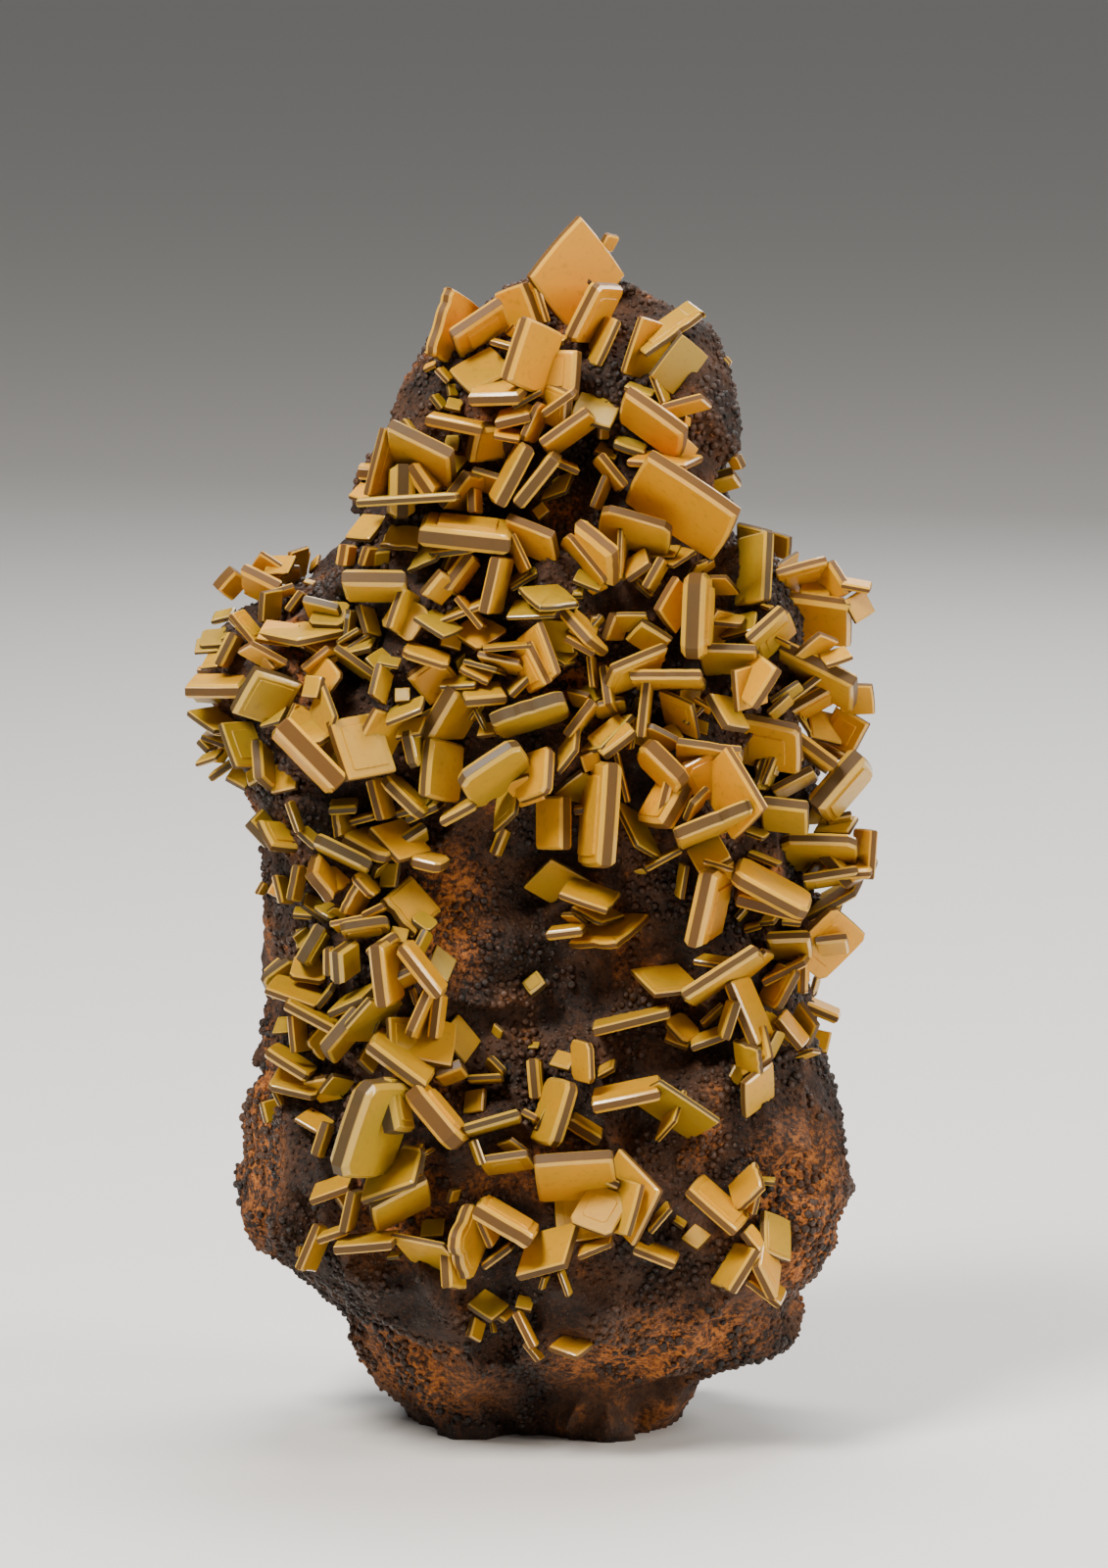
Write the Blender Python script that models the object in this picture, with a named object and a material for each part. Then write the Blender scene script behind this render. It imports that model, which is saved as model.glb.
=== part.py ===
"""Wulfenite: thick square plates of orange crystal grown over a dark lump of gossan, 139 mm tall.

Metres, +Z up. The rock rests on its flat sawn foot at z = 0, with the origin at the middle of
that foot, the crystals' side towards -Y and the specimen's length along +Z.
The crystals are written down as they are seen from the front: two corners of the side that is
nearest, and the corner behind the first. A square plate has only one way to lie that shows
those three corners so, and that way is worked out here.
"""

import math

import bmesh
import bpy
from mathutils import Matrix, Vector, noise
from mathutils.bvhtree import BVHTree

MM = 0.001

# The eye that the crystals' corners are seen from: in front, a little above the middle
EYE_DISTANCE = 1000.0
EYE_RISE = math.radians(8.0)
EYE_TARGET = Vector((0.0, 0.0, 74.3))
SHEET_MIDDLE = 75.8

# The rock, from the foot to the crown: height, left, right, front, back
ROCK_SECTIONS = [
    (-1.0, -17.5, 16.0, -13.0, 19.0),
    (1.5, -19.0, 17.5, -14.0, 20.0),
    (5.5, -22.6, 19.0, -15.5, 21.5),
    (7.5, -23.2, 21.5, -17.0, 22.5),
    (9.5, -23.8, 28.0, -19.0, 23.0),
    (12.5, -25.0, 30.0, -21.5, 24.0),
    (16.5, -30.0, 30.4, -25.5, 25.0),
    (20.5, -34.8, 31.6, -27.5, 26.0),
    (26.0, -35.8, 34.0, -27.5, 26.0),
    (31.0, -36.0, 35.3, -26.0, 26.0),
    (37.0, -35.8, 34.3, -24.5, 26.0),
    (42.0, -35.2, 32.0, -23.0, 26.0),
    (48.0, -34.3, 30.5, -21.5, 26.0),
    (54.0, -33.4, 30.0, -20.0, 25.5),
    (62.0, -33.0, 29.5, -19.0, 25.0),
    (70.0, -33.8, 29.5, -19.0, 24.0),
    (76.0, -37.0, 29.5, -20.0, 23.0),
    (82.0, -39.5, 29.5, -20.5, 22.0),
    (87.5, -41.0, 29.5, -20.5, 21.0),
    (92.0, -40.0, 29.0, -20.0, 20.0),
    (96.0, -34.0, 28.0, -19.0, 19.0),
    (100.0, -27.0, 26.0, -18.0, 18.0),
    (104.0, -23.8, 22.0, -17.0, 17.0),
    (109.0, -22.3, 20.3, -16.0, 15.0),
    (114.0, -21.6, 20.3, -15.0, 13.0),
    (118.0, -19.6, 20.5, -13.5, 11.0),
    (122.3, -16.2, 20.0, -11.5, 9.0),
    (126.2, -11.8, 18.4, -9.0, 7.0),
    (129.3, -7.6, 15.6, -6.0, 5.0),
    (132.2, -3.4, 10.3, -3.0, 3.0),
    (133.8, -1.0, 7.6, -1.5, 1.5),
]
ROCK_SQUARENESS = 0.78
ROCK_AROUND = 132
ROCK_LEVELS = 118
ROCK_FACES = 2700

# Relief of the rock: the reach of each form and how far it stands out
LUMP_REACH, LUMP_RELIEF = 15.0, 1.8
LUMP_ROUGHNESS, LUMP_SCALE, LUMP_OCTAVES = 0.9, 2.1, 3
BLOCK_REACH, BLOCK_STEP, BLOCK_TILT = 9.5, 1.5, 0.34
CHIP_REACH, CHIP_STEP, CHIP_TILT = 4.6, 0.55, 0.25
BLOCK_SLANT = 0.75
LEAN_SPREAD = 10.0
HEIGHT_SHIFT = Vector((5.0, 3.0, 1.0))
SIDE_RELIEF = 0.5
RELIEF_BIAS = 0.6
VALLEY_MIDDLE = (2.0, 46.0)
VALLEY_SPREAD = (9.0, 24.0)
VALLEY_DEPTH = 4.5

# The brow: a crust edge across the front, with the broken rock set back below it
BROW = [
    (-36.0, 20.8), (-26.6, 19.6), (-20.0, 16.1), (-14.5, 11.5), (-12.5, 6.5), (-6.4, 5.0),
    (0.6, 6.5), (3.7, 10.5), (8.7, 13.0), (16.8, 15.6), (25.9, 18.1), (36.0, 19.2),
]
BROW_DEPTH = 3.0
BROW_STEP = 1.4

# How the crystals stand on the rock
LAYER_BASE = 0.3
LAYER_STEP = 0.75
DEPTH_SHARE = 0.35
SINK_STEP = 0.5
SINK_MOST = 14.0
SEARCH_NEAR = 40.0
SEARCH_DEEP = 80
ROOT_DEPTH = 0.4
GAP = 0.3

# A plate: its slanted rims take this share of its thickness on each side, and a small one has none
RIM_INSET = 0.3
RIM_INSET_MOST = 0.25
BOX_BELOW = 5.5

# What is kept of the clusters: the volume of the least one in mm3, and how many
SMALLEST_BODY = 4.0
MOST_CLUSTERS = 56
FLAT_ANGLE = math.radians(3.0)
WELD = 0.002

GOSSAN_COLOUR, GOSSAN_ROUGHNESS = (0.045, 0.03, 0.025), 0.85
WULFENITE_COLOUR, WULFENITE_ROUGHNESS = (0.78, 0.47, 0.1), 0.35

# The crystals, region by region, in millimetres on the sheet that the eye sees them on: across and
# height of the near side's two corners and of the corner behind the first, then the thickness, the
# warmth of its colour from 0 to 1, and how many layers it lies above the rock
CRYSTALS = {
    "crown": [
        (-2.6, 133.0, 3.2, 140.1, 2.5, 126.6, 1.3, 1.00, 0),
        (-13.6, 124.2, -11.3, 131.8, -10.6, 122.5, 1.4, 0.90, 0),
        (-11.2, 126.0, -5.6, 129.8, -10.4, 123.9, 1.6, 0.90, 2),
        (-2.0, 127.6, -3.8, 132.4, -5.2, 126.6, 1.4, 0.95, 0),
        (-1.0, 127.9, -2.5, 132.6, -1.7, 127.9, 0.7, 0.90, 0),
        (-4.9, 121.3, -2.6, 128.4, -1.0, 119.8, 1.8, 0.85, 2),
        (-9.4, 120.2, -12.0, 123.0, -4.6, 122.9, 1.2, 0.60, 1),
        (-9.8, 120.0, -4.1, 120.1, -8.2, 122.0, 1.6, 0.75, 2),
        (2.2, 125.6, 5.4, 131.9, 5.0, 125.8, 1.6, 0.85, 2),
        (4.6, 123.2, 7.0, 128.4, 2.8, 124.0, 0.9, 0.60, 0),
        (2.0, 119.5, 2.4, 125.0, -3.0, 119.6, 2.2, 0.70, 1),
        (-1.2, 113.8, 4.1, 117.6, -0.1, 112.8, 1.2, 0.80, 2),
        (1.9, 117.6, 6.4, 116.2, 3.1, 120.5, 0.8, 0.35, 0),
        (8.0, 122.2, 10.1, 128.6, 11.8, 121.2, 0.8, 0.60, 1),
        (-14.4, 117.6, -8.1, 116.3, -13.9, 118.3, 1.3, 0.80, 1),
        (-3.4, 114.6, -1.5, 118.8, -2.0, 114.4, 0.8, 0.80, 2),
    ],
    "crown_right": [
        (10.2, 124.5, 16.8, 129.2, 8.6, 126.2, 0.8, 0.50, 2),
        (11.0, 121.9, 14.6, 126.6, 14.0, 119.6, 0.6, 0.20, 0),
        (7.8, 119.8, 14.4, 115.0, 7.2, 117.0, 1.7, 0.95, 3),
        (12.2, 118.0, 16.8, 119.2, 13.4, 117.2, 0.9, 0.85, 1),
        (8.3, 112.6, 14.8, 112.0, 10.4, 113.8, 0.9, 0.80, 2),
    ],
    "neck_left": [
        (-20.9, 108.4, -19.0, 115.9, -17.6, 108.0, 0.9, 0.55, 1),
        (-19.0, 115.9, -12.0, 112.4, -18.8, 112.6, 1.7, 0.55, 2),
        (-18.5, 112.0, -18.6, 106.0, -19.0, 112.0, 2.9, 0.40, 4),
        (-22.4, 107.9, -11.0, 108.6, -21.8, 108.5, 0.9, 0.40, 2),
        (-12.4, 106.8, -9.4, 110.6, -10.0, 106.6, 1.4, 0.55, 3),
        (-15.1, 104.9, -5.0, 103.8, -14.6, 107.0, 2.3, 0.70, 4),
        (-5.6, 105.6, -0.4, 103.5, -5.0, 102.4, 1.3, 0.80, 3),
        (-6.8, 107.6, -3.4, 114.0, -7.6, 108.6, 1.5, 0.60, 4),
        (-4.8, 107.8, -0.6, 113.0, -4.4, 108.8, 1.6, 0.60, 3),
        (-14.6, 102.0, -9.2, 102.6, -11.8, 103.8, 0.8, 0.35, 1),
        (-16.8, 100.0, -13.4, 101.4, -15.0, 103.0, 0.6, 0.20, 0),
        (-11.8, 97.4, -8.8, 101.4, -11.0, 96.8, 1.7, 0.80, 3),
        (-7.4, 95.0, -6.0, 101.2, -5.8, 95.2, 1.3, 0.75, 3),
        (-24.0, 98.2, -16.9, 98.1, -23.6, 96.4, 2.0, 0.45, 3),
        (-18.4, 93.4, -16.8, 98.0, -16.6, 92.4, 1.0, 0.65, 2),
        (-10.9, 97.2, -8.0, 93.6, -10.2, 97.3, 0.7, 0.85, 3),
        (-13.0, 94.4, -7.8, 96.4, -12.0, 95.6, 0.7, 0.50, 1),
        (-12.0, 93.2, -8.6, 91.2, -8.6, 95.4, 0.8, 0.75, 1),
        (-17.0, 91.0, -12.0, 89.4, -16.6, 92.2, 1.0, 0.75, 3),
        (-1.6, 96.0, 3.0, 96.4, -4.0, 98.2, 0.9, 0.40, 1),
        (-5.4, 94.8, 0.0, 95.0, -4.4, 96.8, 0.5, 0.20, 0),
    ],
    "neck_right": [
        (10.4, 112.5, 20.4, 105.8, 7.9, 107.8, 1.7, 1.00, 3),
        (5.4, 106.6, 13.1, 104.4, 5.0, 103.4, 1.2, 0.60, 2),
        (2.0, 105.0, 6.2, 101.4, 2.2, 101.4, 2.0, 0.90, 3),
        (1.4, 103.8, 5.6, 98.6, 0.6, 103.0, 0.8, 0.85, 2),
        (7.6, 99.0, 7.8, 104.6, 8.4, 99.0, 0.6, 0.50, 1),
        (4.9, 112.8, 7.8, 109.2, 4.2, 112.4, 1.0, 0.80, 3),
        (23.4, 96.6, 23.8, 104.4, 20.4, 96.0, 1.3, 0.40, 3),
        (12.0, 95.4, 14.2, 99.2, 14.0, 92.8, 1.2, 0.80, 3),
        (16.8, 90.0, 17.2, 99.4, 17.8, 90.2, 2.6, 0.55, 4),
        (1.4, 95.8, 4.4, 92.4, 3.4, 94.4, 1.3, 0.75, 2),
        (22.4, 91.6, 26.4, 95.2, 22.8, 90.6, 1.4, 0.55, 3),
        (16.2, 91.4, 18.6, 95.4, 18.8, 90.8, 0.7, 0.55, 1),
    ],
    "left_lobe": [
        (-35.8, 99.8, -31.4, 97.6, -35.6, 97.4, 1.6, 0.80, 3),
        (-33.6, 93.2, -29.0, 92.2, -28.4, 94.4, 1.0, 0.50, 2),
        (-29.0, 92.0, -26.2, 90.4, -25.2, 93.2, 0.8, 0.75, 1),
        (-36.0, 90.6, -34.4, 91.4, -32.0, 88.4, 0.8, 0.75, 1),
        (-41.8, 87.0, -35.6, 87.0, -41.0, 88.4, 1.6, 0.60, 3),
        (-41.4, 86.4, -36.8, 86.2, -40.8, 85.0, 0.8, 0.35, 2),
        (-41.6, 84.2, -38.4, 82.0, -38.0, 84.8, 0.8, 0.35, 1),
        (-36.4, 83.6, -33.6, 88.4, -31.2, 82.0, 2.0, 0.40, 4),
        (-37.6, 82.8, -35.8, 77.8, -34.2, 83.0, 0.9, 0.35, 4),
        (-25.0, 91.0, -20.6, 87.8, -25.2, 90.2, 0.9, 0.50, 3),
        (-30.8, 81.4, -26.8, 80.6, -28.0, 83.4, 0.9, 0.50, 2),
        (-26.6, 79.4, -25.0, 83.4, -28.2, 83.4, 0.8, 0.40, 1),
        (-31.6, 81.8, -25.0, 75.0, -32.4, 81.2, 2.4, 0.85, 5),
        (-32.8, 76.6, -33.2, 81.0, -31.4, 75.2, 1.4, 0.50, 4),
        (-23.0, 76.4, -25.2, 83.0, -17.8, 77.4, 1.3, 0.55, 4),
        (-22.6, 79.0, -20.0, 84.2, -19.0, 77.6, 1.0, 0.60, 0),
    ],
    "middle": [
        (-14.2, 80.4, -10.9, 86.0, -10.2, 80.6, 2.2, 0.60, 2),
        (-10.0, 85.6, -5.4, 86.0, -10.8, 87.2, 1.3, 0.60, 3),
        (-8.8, 90.2, -4.0, 89.2, -7.6, 88.8, 0.8, 0.60, 2),
        (-8.0, 91.2, -2.6, 91.6, -8.0, 91.8, 0.5, 0.65, 4),
        (-3.4, 91.6, -1.1, 87.0, -5.2, 90.6, 1.2, 0.85, 4),
        (-2.0, 94.0, 0.1, 88.2, -4.6, 92.0, 1.0, 0.80, 2),
        (-7.0, 82.4, 1.2, 85.0, -6.2, 80.6, 1.7, 0.45, 4),
        (-10.4, 75.6, -3.8, 80.0, -8.6, 72.6, 1.8, 0.45, 4),
        (-14.2, 74.4, -13.6, 81.0, -10.6, 73.6, 1.6, 0.50, 4),
        (-0.9, 80.2, -1.2, 75.0, -4.2, 79.0, 1.4, 0.70, 2),
        (-13.2, 71.8, -9.2, 74.0, -12.8, 72.6, 1.2, 0.40, 4),
        (1.8, 81.0, 4.8, 85.0, 2.4, 80.6, 1.1, 0.50, 4),
        (2.8, 79.6, 5.2, 80.0, 6.4, 83.4, 0.8, 0.30, 1),
        (0.0, 74.4, 3.2, 77.0, 3.4, 73.4, 0.8, 0.35, 2),
        (0.7, 68.4, 0.7, 74.4, -2.2, 68.4, 1.6, 0.75, 4),
        (4.8, 66.6, 5.6, 78.2, 2.6, 66.6, 2.2, 0.75, 5),
        (7.2, 79.6, 8.6, 73.8, 7.4, 79.8, 0.6, 0.70, 3),
        (7.2, 74.0, 9.6, 69.0, 10.0, 72.4, 0.7, 0.30, 1),
        (6.0, 89.4, 6.6, 85.0, 6.8, 88.2, 1.0, 0.55, 2),
        (6.8, 88.4, 13.0, 91.0, 5.6, 85.2, 1.2, 0.55, 4),
        (-7.0, 70.4, -4.6, 72.6, -6.6, 74.2, 0.7, 0.35, 1),
    ],
    "right_shoulder": [
        (25.2, 99.2, 31.0, 100.8, 25.6, 97.0, 1.1, 0.75, 2),
        (26.2, 96.6, 33.4, 95.6, 26.4, 92.0, 1.8, 0.65, 4),
        (16.4, 90.8, 22.8, 90.6, 17.0, 88.0, 1.2, 0.60, 3),
        (23.0, 91.6, 26.8, 95.0, 24.0, 89.6, 1.2, 0.55, 2),
        (25.2, 90.8, 33.6, 86.6, 25.4, 88.0, 1.8, 0.65, 5),
        (25.6, 84.0, 30.8, 88.0, 26.2, 84.2, 0.9, 0.55, 5),
        (27.0, 83.8, 32.0, 86.6, 27.4, 82.4, 1.3, 0.60, 4),
        (33.6, 79.6, 35.0, 82.2, 29.4, 81.6, 1.2, 0.75, 2),
        (20.6, 88.6, 24.0, 89.6, 21.0, 84.0, 1.0, 0.75, 3),
        (22.2, 84.6, 25.0, 89.0, 19.8, 86.6, 1.4, 0.75, 4),
        (20.6, 83.0, 27.6, 81.6, 20.8, 78.0, 1.6, 0.60, 4),
        (26.6, 80.8, 31.4, 77.2, 26.4, 80.2, 1.6, 0.75, 4),
        (13.8, 80.2, 21.2, 79.2, 14.0, 77.4, 1.0, 0.55, 2),
        (14.8, 80.0, 10.6, 82.2, 11.8, 79.0, 0.8, 0.50, 1),
        (14.2, 77.4, 19.0, 79.8, 16.4, 73.4, 1.2, 0.90, 3),
        (19.2, 79.8, 23.4, 72.8, 16.0, 76.4, 1.2, 0.90, 4),
        (10.3, 81.0, 11.0, 87.4, 10.8, 81.0, 1.1, 0.70, 4),
        (8.4, 87.6, 16.6, 87.6, 9.2, 86.4, 1.2, 0.60, 4),
        (11.8, 86.2, 15.4, 84.6, 12.6, 82.4, 0.8, 0.55, 1),
        (11.8, 71.6, 14.4, 76.2, 9.0, 72.0, 2.4, 0.95, 4),
        (9.6, 80.2, 14.2, 75.6, 9.0, 78.4, 2.0, 0.95, 5),
        (13.6, 76.4, 15.4, 77.0, 12.4, 71.6, 1.2, 0.85, 3),
        (24.8, 74.8, 29.4, 77.2, 25.6, 73.8, 0.9, 0.50, 3),
        (30.2, 72.6, 35.4, 78.6, 31.6, 71.0, 2.5, 0.45, 5),
        (23.4, 73.2, 28.6, 72.6, 23.6, 70.4, 1.7, 0.45, 4),
    ],
    "left_column": [
        (-24.2, 70.4, -19.2, 67.8, -21.4, 71.4, 1.4, 0.60, 3),
        (-20.8, 71.0, -17.4, 67.4, -17.2, 72.0, 1.0, 0.65, 3),
        (-19.2, 71.8, -20.4, 76.4, -17.8, 72.2, 1.1, 0.60, 2),
        (-18.9, 76.8, -14.6, 72.6, -18.0, 77.4, 1.4, 0.65, 4),
        (-27.4, 69.0, -21.2, 66.0, -27.2, 68.2, 1.6, 0.20, 3),
        (-23.8, 61.0, -21.6, 65.0, -21.8, 60.6, 1.0, 0.55, 2),
        (-19.2, 62.9, -16.2, 65.6, -15.6, 58.8, 1.5, 0.60, 4),
        (-24.1, 59.0, -18.8, 59.8, -23.8, 58.0, 1.3, 0.50, 4),
        (-28.0, 55.4, -25.7, 59.4, -27.6, 54.8, 1.6, 0.30, 3),
        (-19.4, 57.6, -18.6, 50.6, -17.6, 58.4, 1.8, 0.65, 3),
        (-16.8, 57.8, -12.4, 52.2, -16.2, 58.4, 1.6, 0.90, 5),
        (-32.6, 52.8, -27.0, 50.8, -31.4, 54.4, 0.9, 0.60, 3),
        (-30.2, 51.4, -24.6, 48.4, -29.8, 52.0, 1.2, 0.60, 3),
        (-25.8, 50.0, -21.8, 51.8, -24.0, 51.8, 1.0, 0.40, 3),
        (-24.6, 46.6, -20.6, 51.2, -20.8, 46.4, 0.9, 0.35, 3),
        (-18.4, 44.6, -18.6, 49.4, -15.0, 44.6, 0.9, 0.55, 2),
        (-16.0, 47.2, -13.6, 52.6, -15.4, 46.6, 1.1, 0.55, 4),
        (-13.2, 47.0, -12.6, 52.0, -12.6, 46.8, 1.2, 0.65, 4),
    ],
    "right_column": [
        (14.0, 69.4, 22.6, 72.8, 14.4, 68.2, 1.6, 0.55, 4),
        (25.6, 69.0, 34.2, 68.8, 25.8, 65.8, 1.5, 0.60, 4),
        (34.0, 64.8, 35.6, 65.2, 30.0, 69.4, 1.6, 0.70, 2),
        (30.0, 66.0, 35.8, 66.2, 31.0, 67.4, 1.2, 0.75, 3),
        (35.4, 65.0, 35.8, 70.6, 33.6, 65.2, 1.0, 0.70, 3),
        (28.2, 64.6, 34.4, 65.6, 28.6, 63.6, 1.1, 0.60, 5),
        (20.6, 66.0, 28.8, 61.6, 21.4, 67.8, 1.8, 0.75, 5),
        (20.8, 63.4, 28.4, 61.4, 20.8, 65.2, 1.5, 0.75, 4),
        (28.4, 60.8, 33.8, 63.8, 29.6, 63.0, 0.9, 0.50, 1),
        (31.8, 61.8, 35.8, 58.4, 26.6, 56.6, 1.1, 0.75, 2),
        (16.6, 57.0, 18.4, 65.4, 19.2, 58.4, 2.2, 0.75, 4),
        (24.0, 57.8, 29.0, 58.0, 24.4, 55.6, 1.6, 0.60, 3),
        (14.8, 51.2, 23.2, 56.6, 15.8, 50.2, 1.5, 0.50, 4),
        (23.4, 53.6, 28.2, 56.0, 24.0, 54.2, 0.9, 0.75, 4),
        (28.7, 52.0, 28.8, 59.4, 28.9, 52.0, 1.2, 0.80, 6),
        (20.2, 53.6, 23.2, 46.4, 22.4, 54.0, 1.3, 0.75, 5),
        (25.0, 50.4, 27.4, 54.8, 22.8, 51.2, 1.0, 0.60, 4),
        (27.2, 51.8, 32.4, 49.6, 27.6, 52.4, 1.2, 0.70, 4),
    ],
    "lower_left_fan": [
        (-32.4, 46.0, -27.6, 43.0, -31.4, 46.6, 1.2, 0.50, 2),
        (-32.4, 41.8, -27.0, 40.6, -31.0, 44.2, 0.9, 0.45, 1),
        (-25.4, 45.4, -21.6, 49.8, -24.8, 43.8, 1.7, 0.40, 3),
        (-20.6, 46.8, -14.2, 42.0, -19.6, 48.4, 1.6, 0.60, 4),
        (-17.6, 45.4, -11.6, 44.0, -17.0, 50.0, 0.9, 0.55, 2),
        (-23.8, 31.2, -20.4, 41.6, -18.6, 30.8, 2.6, 0.40, 5),
        (-17.4, 36.8, -18.6, 42.8, -15.6, 36.4, 2.6, 0.40, 5),
        (-15.4, 42.0, -10.2, 35.8, -14.4, 42.0, 2.4, 0.70, 5),
        (-22.0, 28.8, -16.0, 31.0, -21.0, 33.0, 1.1, 0.50, 3),
        (-20.4, 27.6, -14.2, 30.8, -20.0, 24.6, 1.4, 0.55, 4),
        (-27.8, 28.8, -23.4, 30.4, -27.2, 30.4, 0.9, 0.60, 2),
        (-23.4, 25.0, -22.4, 29.6, -22.6, 25.0, 1.1, 0.60, 3),
        (-28.6, 20.6, -26.4, 25.8, -27.0, 20.2, 1.0, 0.60, 2),
        (-25.0, 23.6, -18.4, 24.2, -24.2, 24.6, 1.1, 0.60, 3),
        (-18.6, 24.4, -12.6, 23.4, -16.0, 21.0, 0.8, 0.55, 2),
        (-11.0, 24.0, -8.8, 28.8, -9.4, 19.0, 1.5, 0.65, 5),
        (-11.6, 18.8, -11.9, 23.6, -9.8, 18.4, 1.4, 0.60, 4),
    ],
    "lower_middle": [
        (-10.0, 36.2, -3.8, 38.0, -9.8, 35.4, 1.2, 0.35, 3),
        (-8.4, 32.8, -3.0, 33.6, -7.6, 31.2, 1.0, 0.60, 2),
        (-2.2, 32.6, 6.6, 33.2, -1.6, 28.0, 1.7, 0.60, 4),
        (-0.6, 35.0, 1.6, 42.2, -3.2, 35.4, 1.6, 0.60, 4),
        (-1.4, 40.2, -1.8, 44.8, -1.0, 40.0, 1.4, 0.55, 2),
        (4.0, 41.8, 3.8, 46.4, 2.0, 42.2, 0.8, 0.60, 2),
        (4.2, 39.8, 11.8, 41.4, 4.4, 41.2, 1.4, 0.65, 3),
        (11.8, 42.0, 18.6, 37.4, 8.6, 39.8, 0.7, 0.35, 0),
        (11.4, 35.4, 13.4, 37.8, 12.6, 38.8, 0.6, 0.60, 1),
        (0.4, 23.8, 6.2, 24.6, 0.0, 29.6, 1.0, 0.60, 2),
        (1.6, 26.4, 6.2, 24.8, 4.2, 30.6, 1.0, 0.55, 4),
        (8.0, 24.8, 9.6, 30.6, 5.0, 25.4, 1.1, 0.60, 3),
        (8.8, 23.4, 11.8, 29.8, 4.2, 28.0, 1.0, 0.60, 1),
        (9.2, 23.6, 13.8, 21.8, 9.8, 24.4, 1.1, 0.65, 3),
        (-4.4, 20.2, 1.0, 21.8, -3.0, 24.6, 1.2, 0.65, 3),
        (-8.6, 28.6, -2.2, 24.8, -7.8, 29.4, 2.0, 0.70, 5),
    ],
    "lower_right": [
        (15.4, 30.2, 20.8, 25.4, 17.0, 31.6, 1.2, 0.70, 3),
        (23.4, 21.4, 24.0, 25.0, 25.4, 17.4, 1.3, 0.70, 4),
        (22.0, 19.8, 25.8, 16.9, 22.8, 21.2, 0.9, 0.70, 3),
        (24.0, 23.0, 27.0, 21.6, 24.0, 27.6, 0.9, 0.40, 1),
        (19.6, 18.6, 22.6, 23.4, 17.6, 19.2, 1.3, 0.65, 2),
        (21.8, 41.8, 25.0, 44.2, 22.0, 37.8, 1.1, 0.50, 2),
    ],
    "bare_patch": [
        (-3.5, 63.9, -0.3, 67.1, 0.9, 61.4, 0.9, 0.55, 1),
        (0.6, 63.6, 6.1, 61.7, 2.2, 65.4, 0.9, 0.65, 2),
        (7.0, 57.9, 10.8, 61.2, 1.5, 57.9, 1.0, 0.80, 3),
        (11.4, 52.2, 16.8, 52.8, 8.7, 54.9, 0.8, 0.65, 1),
        (4.3, 48.3, 12.9, 50.4, 4.5, 48.9, 1.1, 0.55, 2),
    ],
}


def clear_scene():
    for old in list(bpy.data.objects):
        bpy.data.objects.remove(old, do_unlink=True)


def collection(name):
    made = bpy.data.collections.new(name)
    bpy.context.scene.collection.children.link(made)
    return made


def principled(name, colour, roughness):
    material = bpy.data.materials.new(name)
    material.use_nodes = True
    shader = material.node_tree.nodes["Principled BSDF"]
    shader.inputs["Base Color"].default_value = (*colour, 1.0)
    shader.inputs["Roughness"].default_value = roughness
    return material


def make_object(name, mesh, home, material=None):
    obj = bpy.data.objects.new(name, mesh)
    home.objects.link(obj)
    if material:
        mesh.materials.clear()
        mesh.materials.append(material)
    return obj


def section_at(height):
    """Left, right, front and back of the rock at a height, between the listed sections."""
    for low, high in zip(ROCK_SECTIONS, ROCK_SECTIONS[1:]):
        if height <= high[0]:
            share = (height - low[0]) / (high[0] - low[0])
            return [a + (b - a) * share for a, b in zip(low[1:], high[1:])]
    return list(ROCK_SECTIONS[-1][1:])


def brow_height(across):
    """Height of the crust's edge at a place across the front."""
    for left, right in zip(BROW, BROW[1:]):
        if across <= right[0]:
            share = max(0.0, (across - left[0]) / (right[0] - left[0]))
            return left[1] + (right[1] - left[1]) * share
    return BROW[-1][1]


def broken(place, reach, step, tilt):
    """Relief of rock that broke into blocks: each block has its own height and its own slant."""
    slanted = Vector((place.x, place.y, place.z * BLOCK_SLANT)) / reach
    middle = noise.voronoi(slanted)[1][0]
    lean = noise.cell_vector(middle * LEAN_SPREAD) * 2 - Vector((1, 1, 1))
    height = noise.cell(middle * LEAN_SPREAD + HEIGHT_SHIFT)
    return (2 * height - 1) * step + (slanted - middle).dot(lean) * reach * tilt


def relief(place):
    """How far the rock stands out at a place on its smooth form."""
    out = noise.fractal(place / LUMP_REACH, LUMP_ROUGHNESS, LUMP_SCALE, LUMP_OCTAVES) * LUMP_RELIEF
    out += broken(place, BLOCK_REACH, BLOCK_STEP, BLOCK_TILT)
    out += broken(place, CHIP_REACH, CHIP_STEP, CHIP_TILT)
    if place.y < 0.0:
        across = (place.x - VALLEY_MIDDLE[0]) / VALLEY_SPREAD[0]
        along = (place.z - VALLEY_MIDDLE[1]) / VALLEY_SPREAD[1]
        out -= VALLEY_DEPTH * math.exp(-(across**2) - along**4)
        below = (brow_height(place.x) - place.z) / BROW_STEP
        out -= BROW_DEPTH * min(max(below, 0.0), 1.0)
    return out - RELIEF_BIAS


def rock_place(height, turn):
    """A point of the rock's surface, in millimetres."""
    left, right, front, back = section_at(height)
    middle = Vector(((left + right) / 2, (front + back) / 2, height))
    c, s = math.cos(turn), math.sin(turn)
    across = math.copysign(abs(c) ** ROCK_SQUARENESS, c) * (right - left) / 2
    deep = math.copysign(abs(s) ** ROCK_SQUARENESS, s) * (back - front) / 2
    place = middle + Vector((across, deep, 0.0))
    outward = Vector((c, s, 0.0))
    share = SIDE_RELIEF + (1.0 - SIDE_RELIEF) * abs(s)
    return place + outward * relief(place) * share


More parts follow.
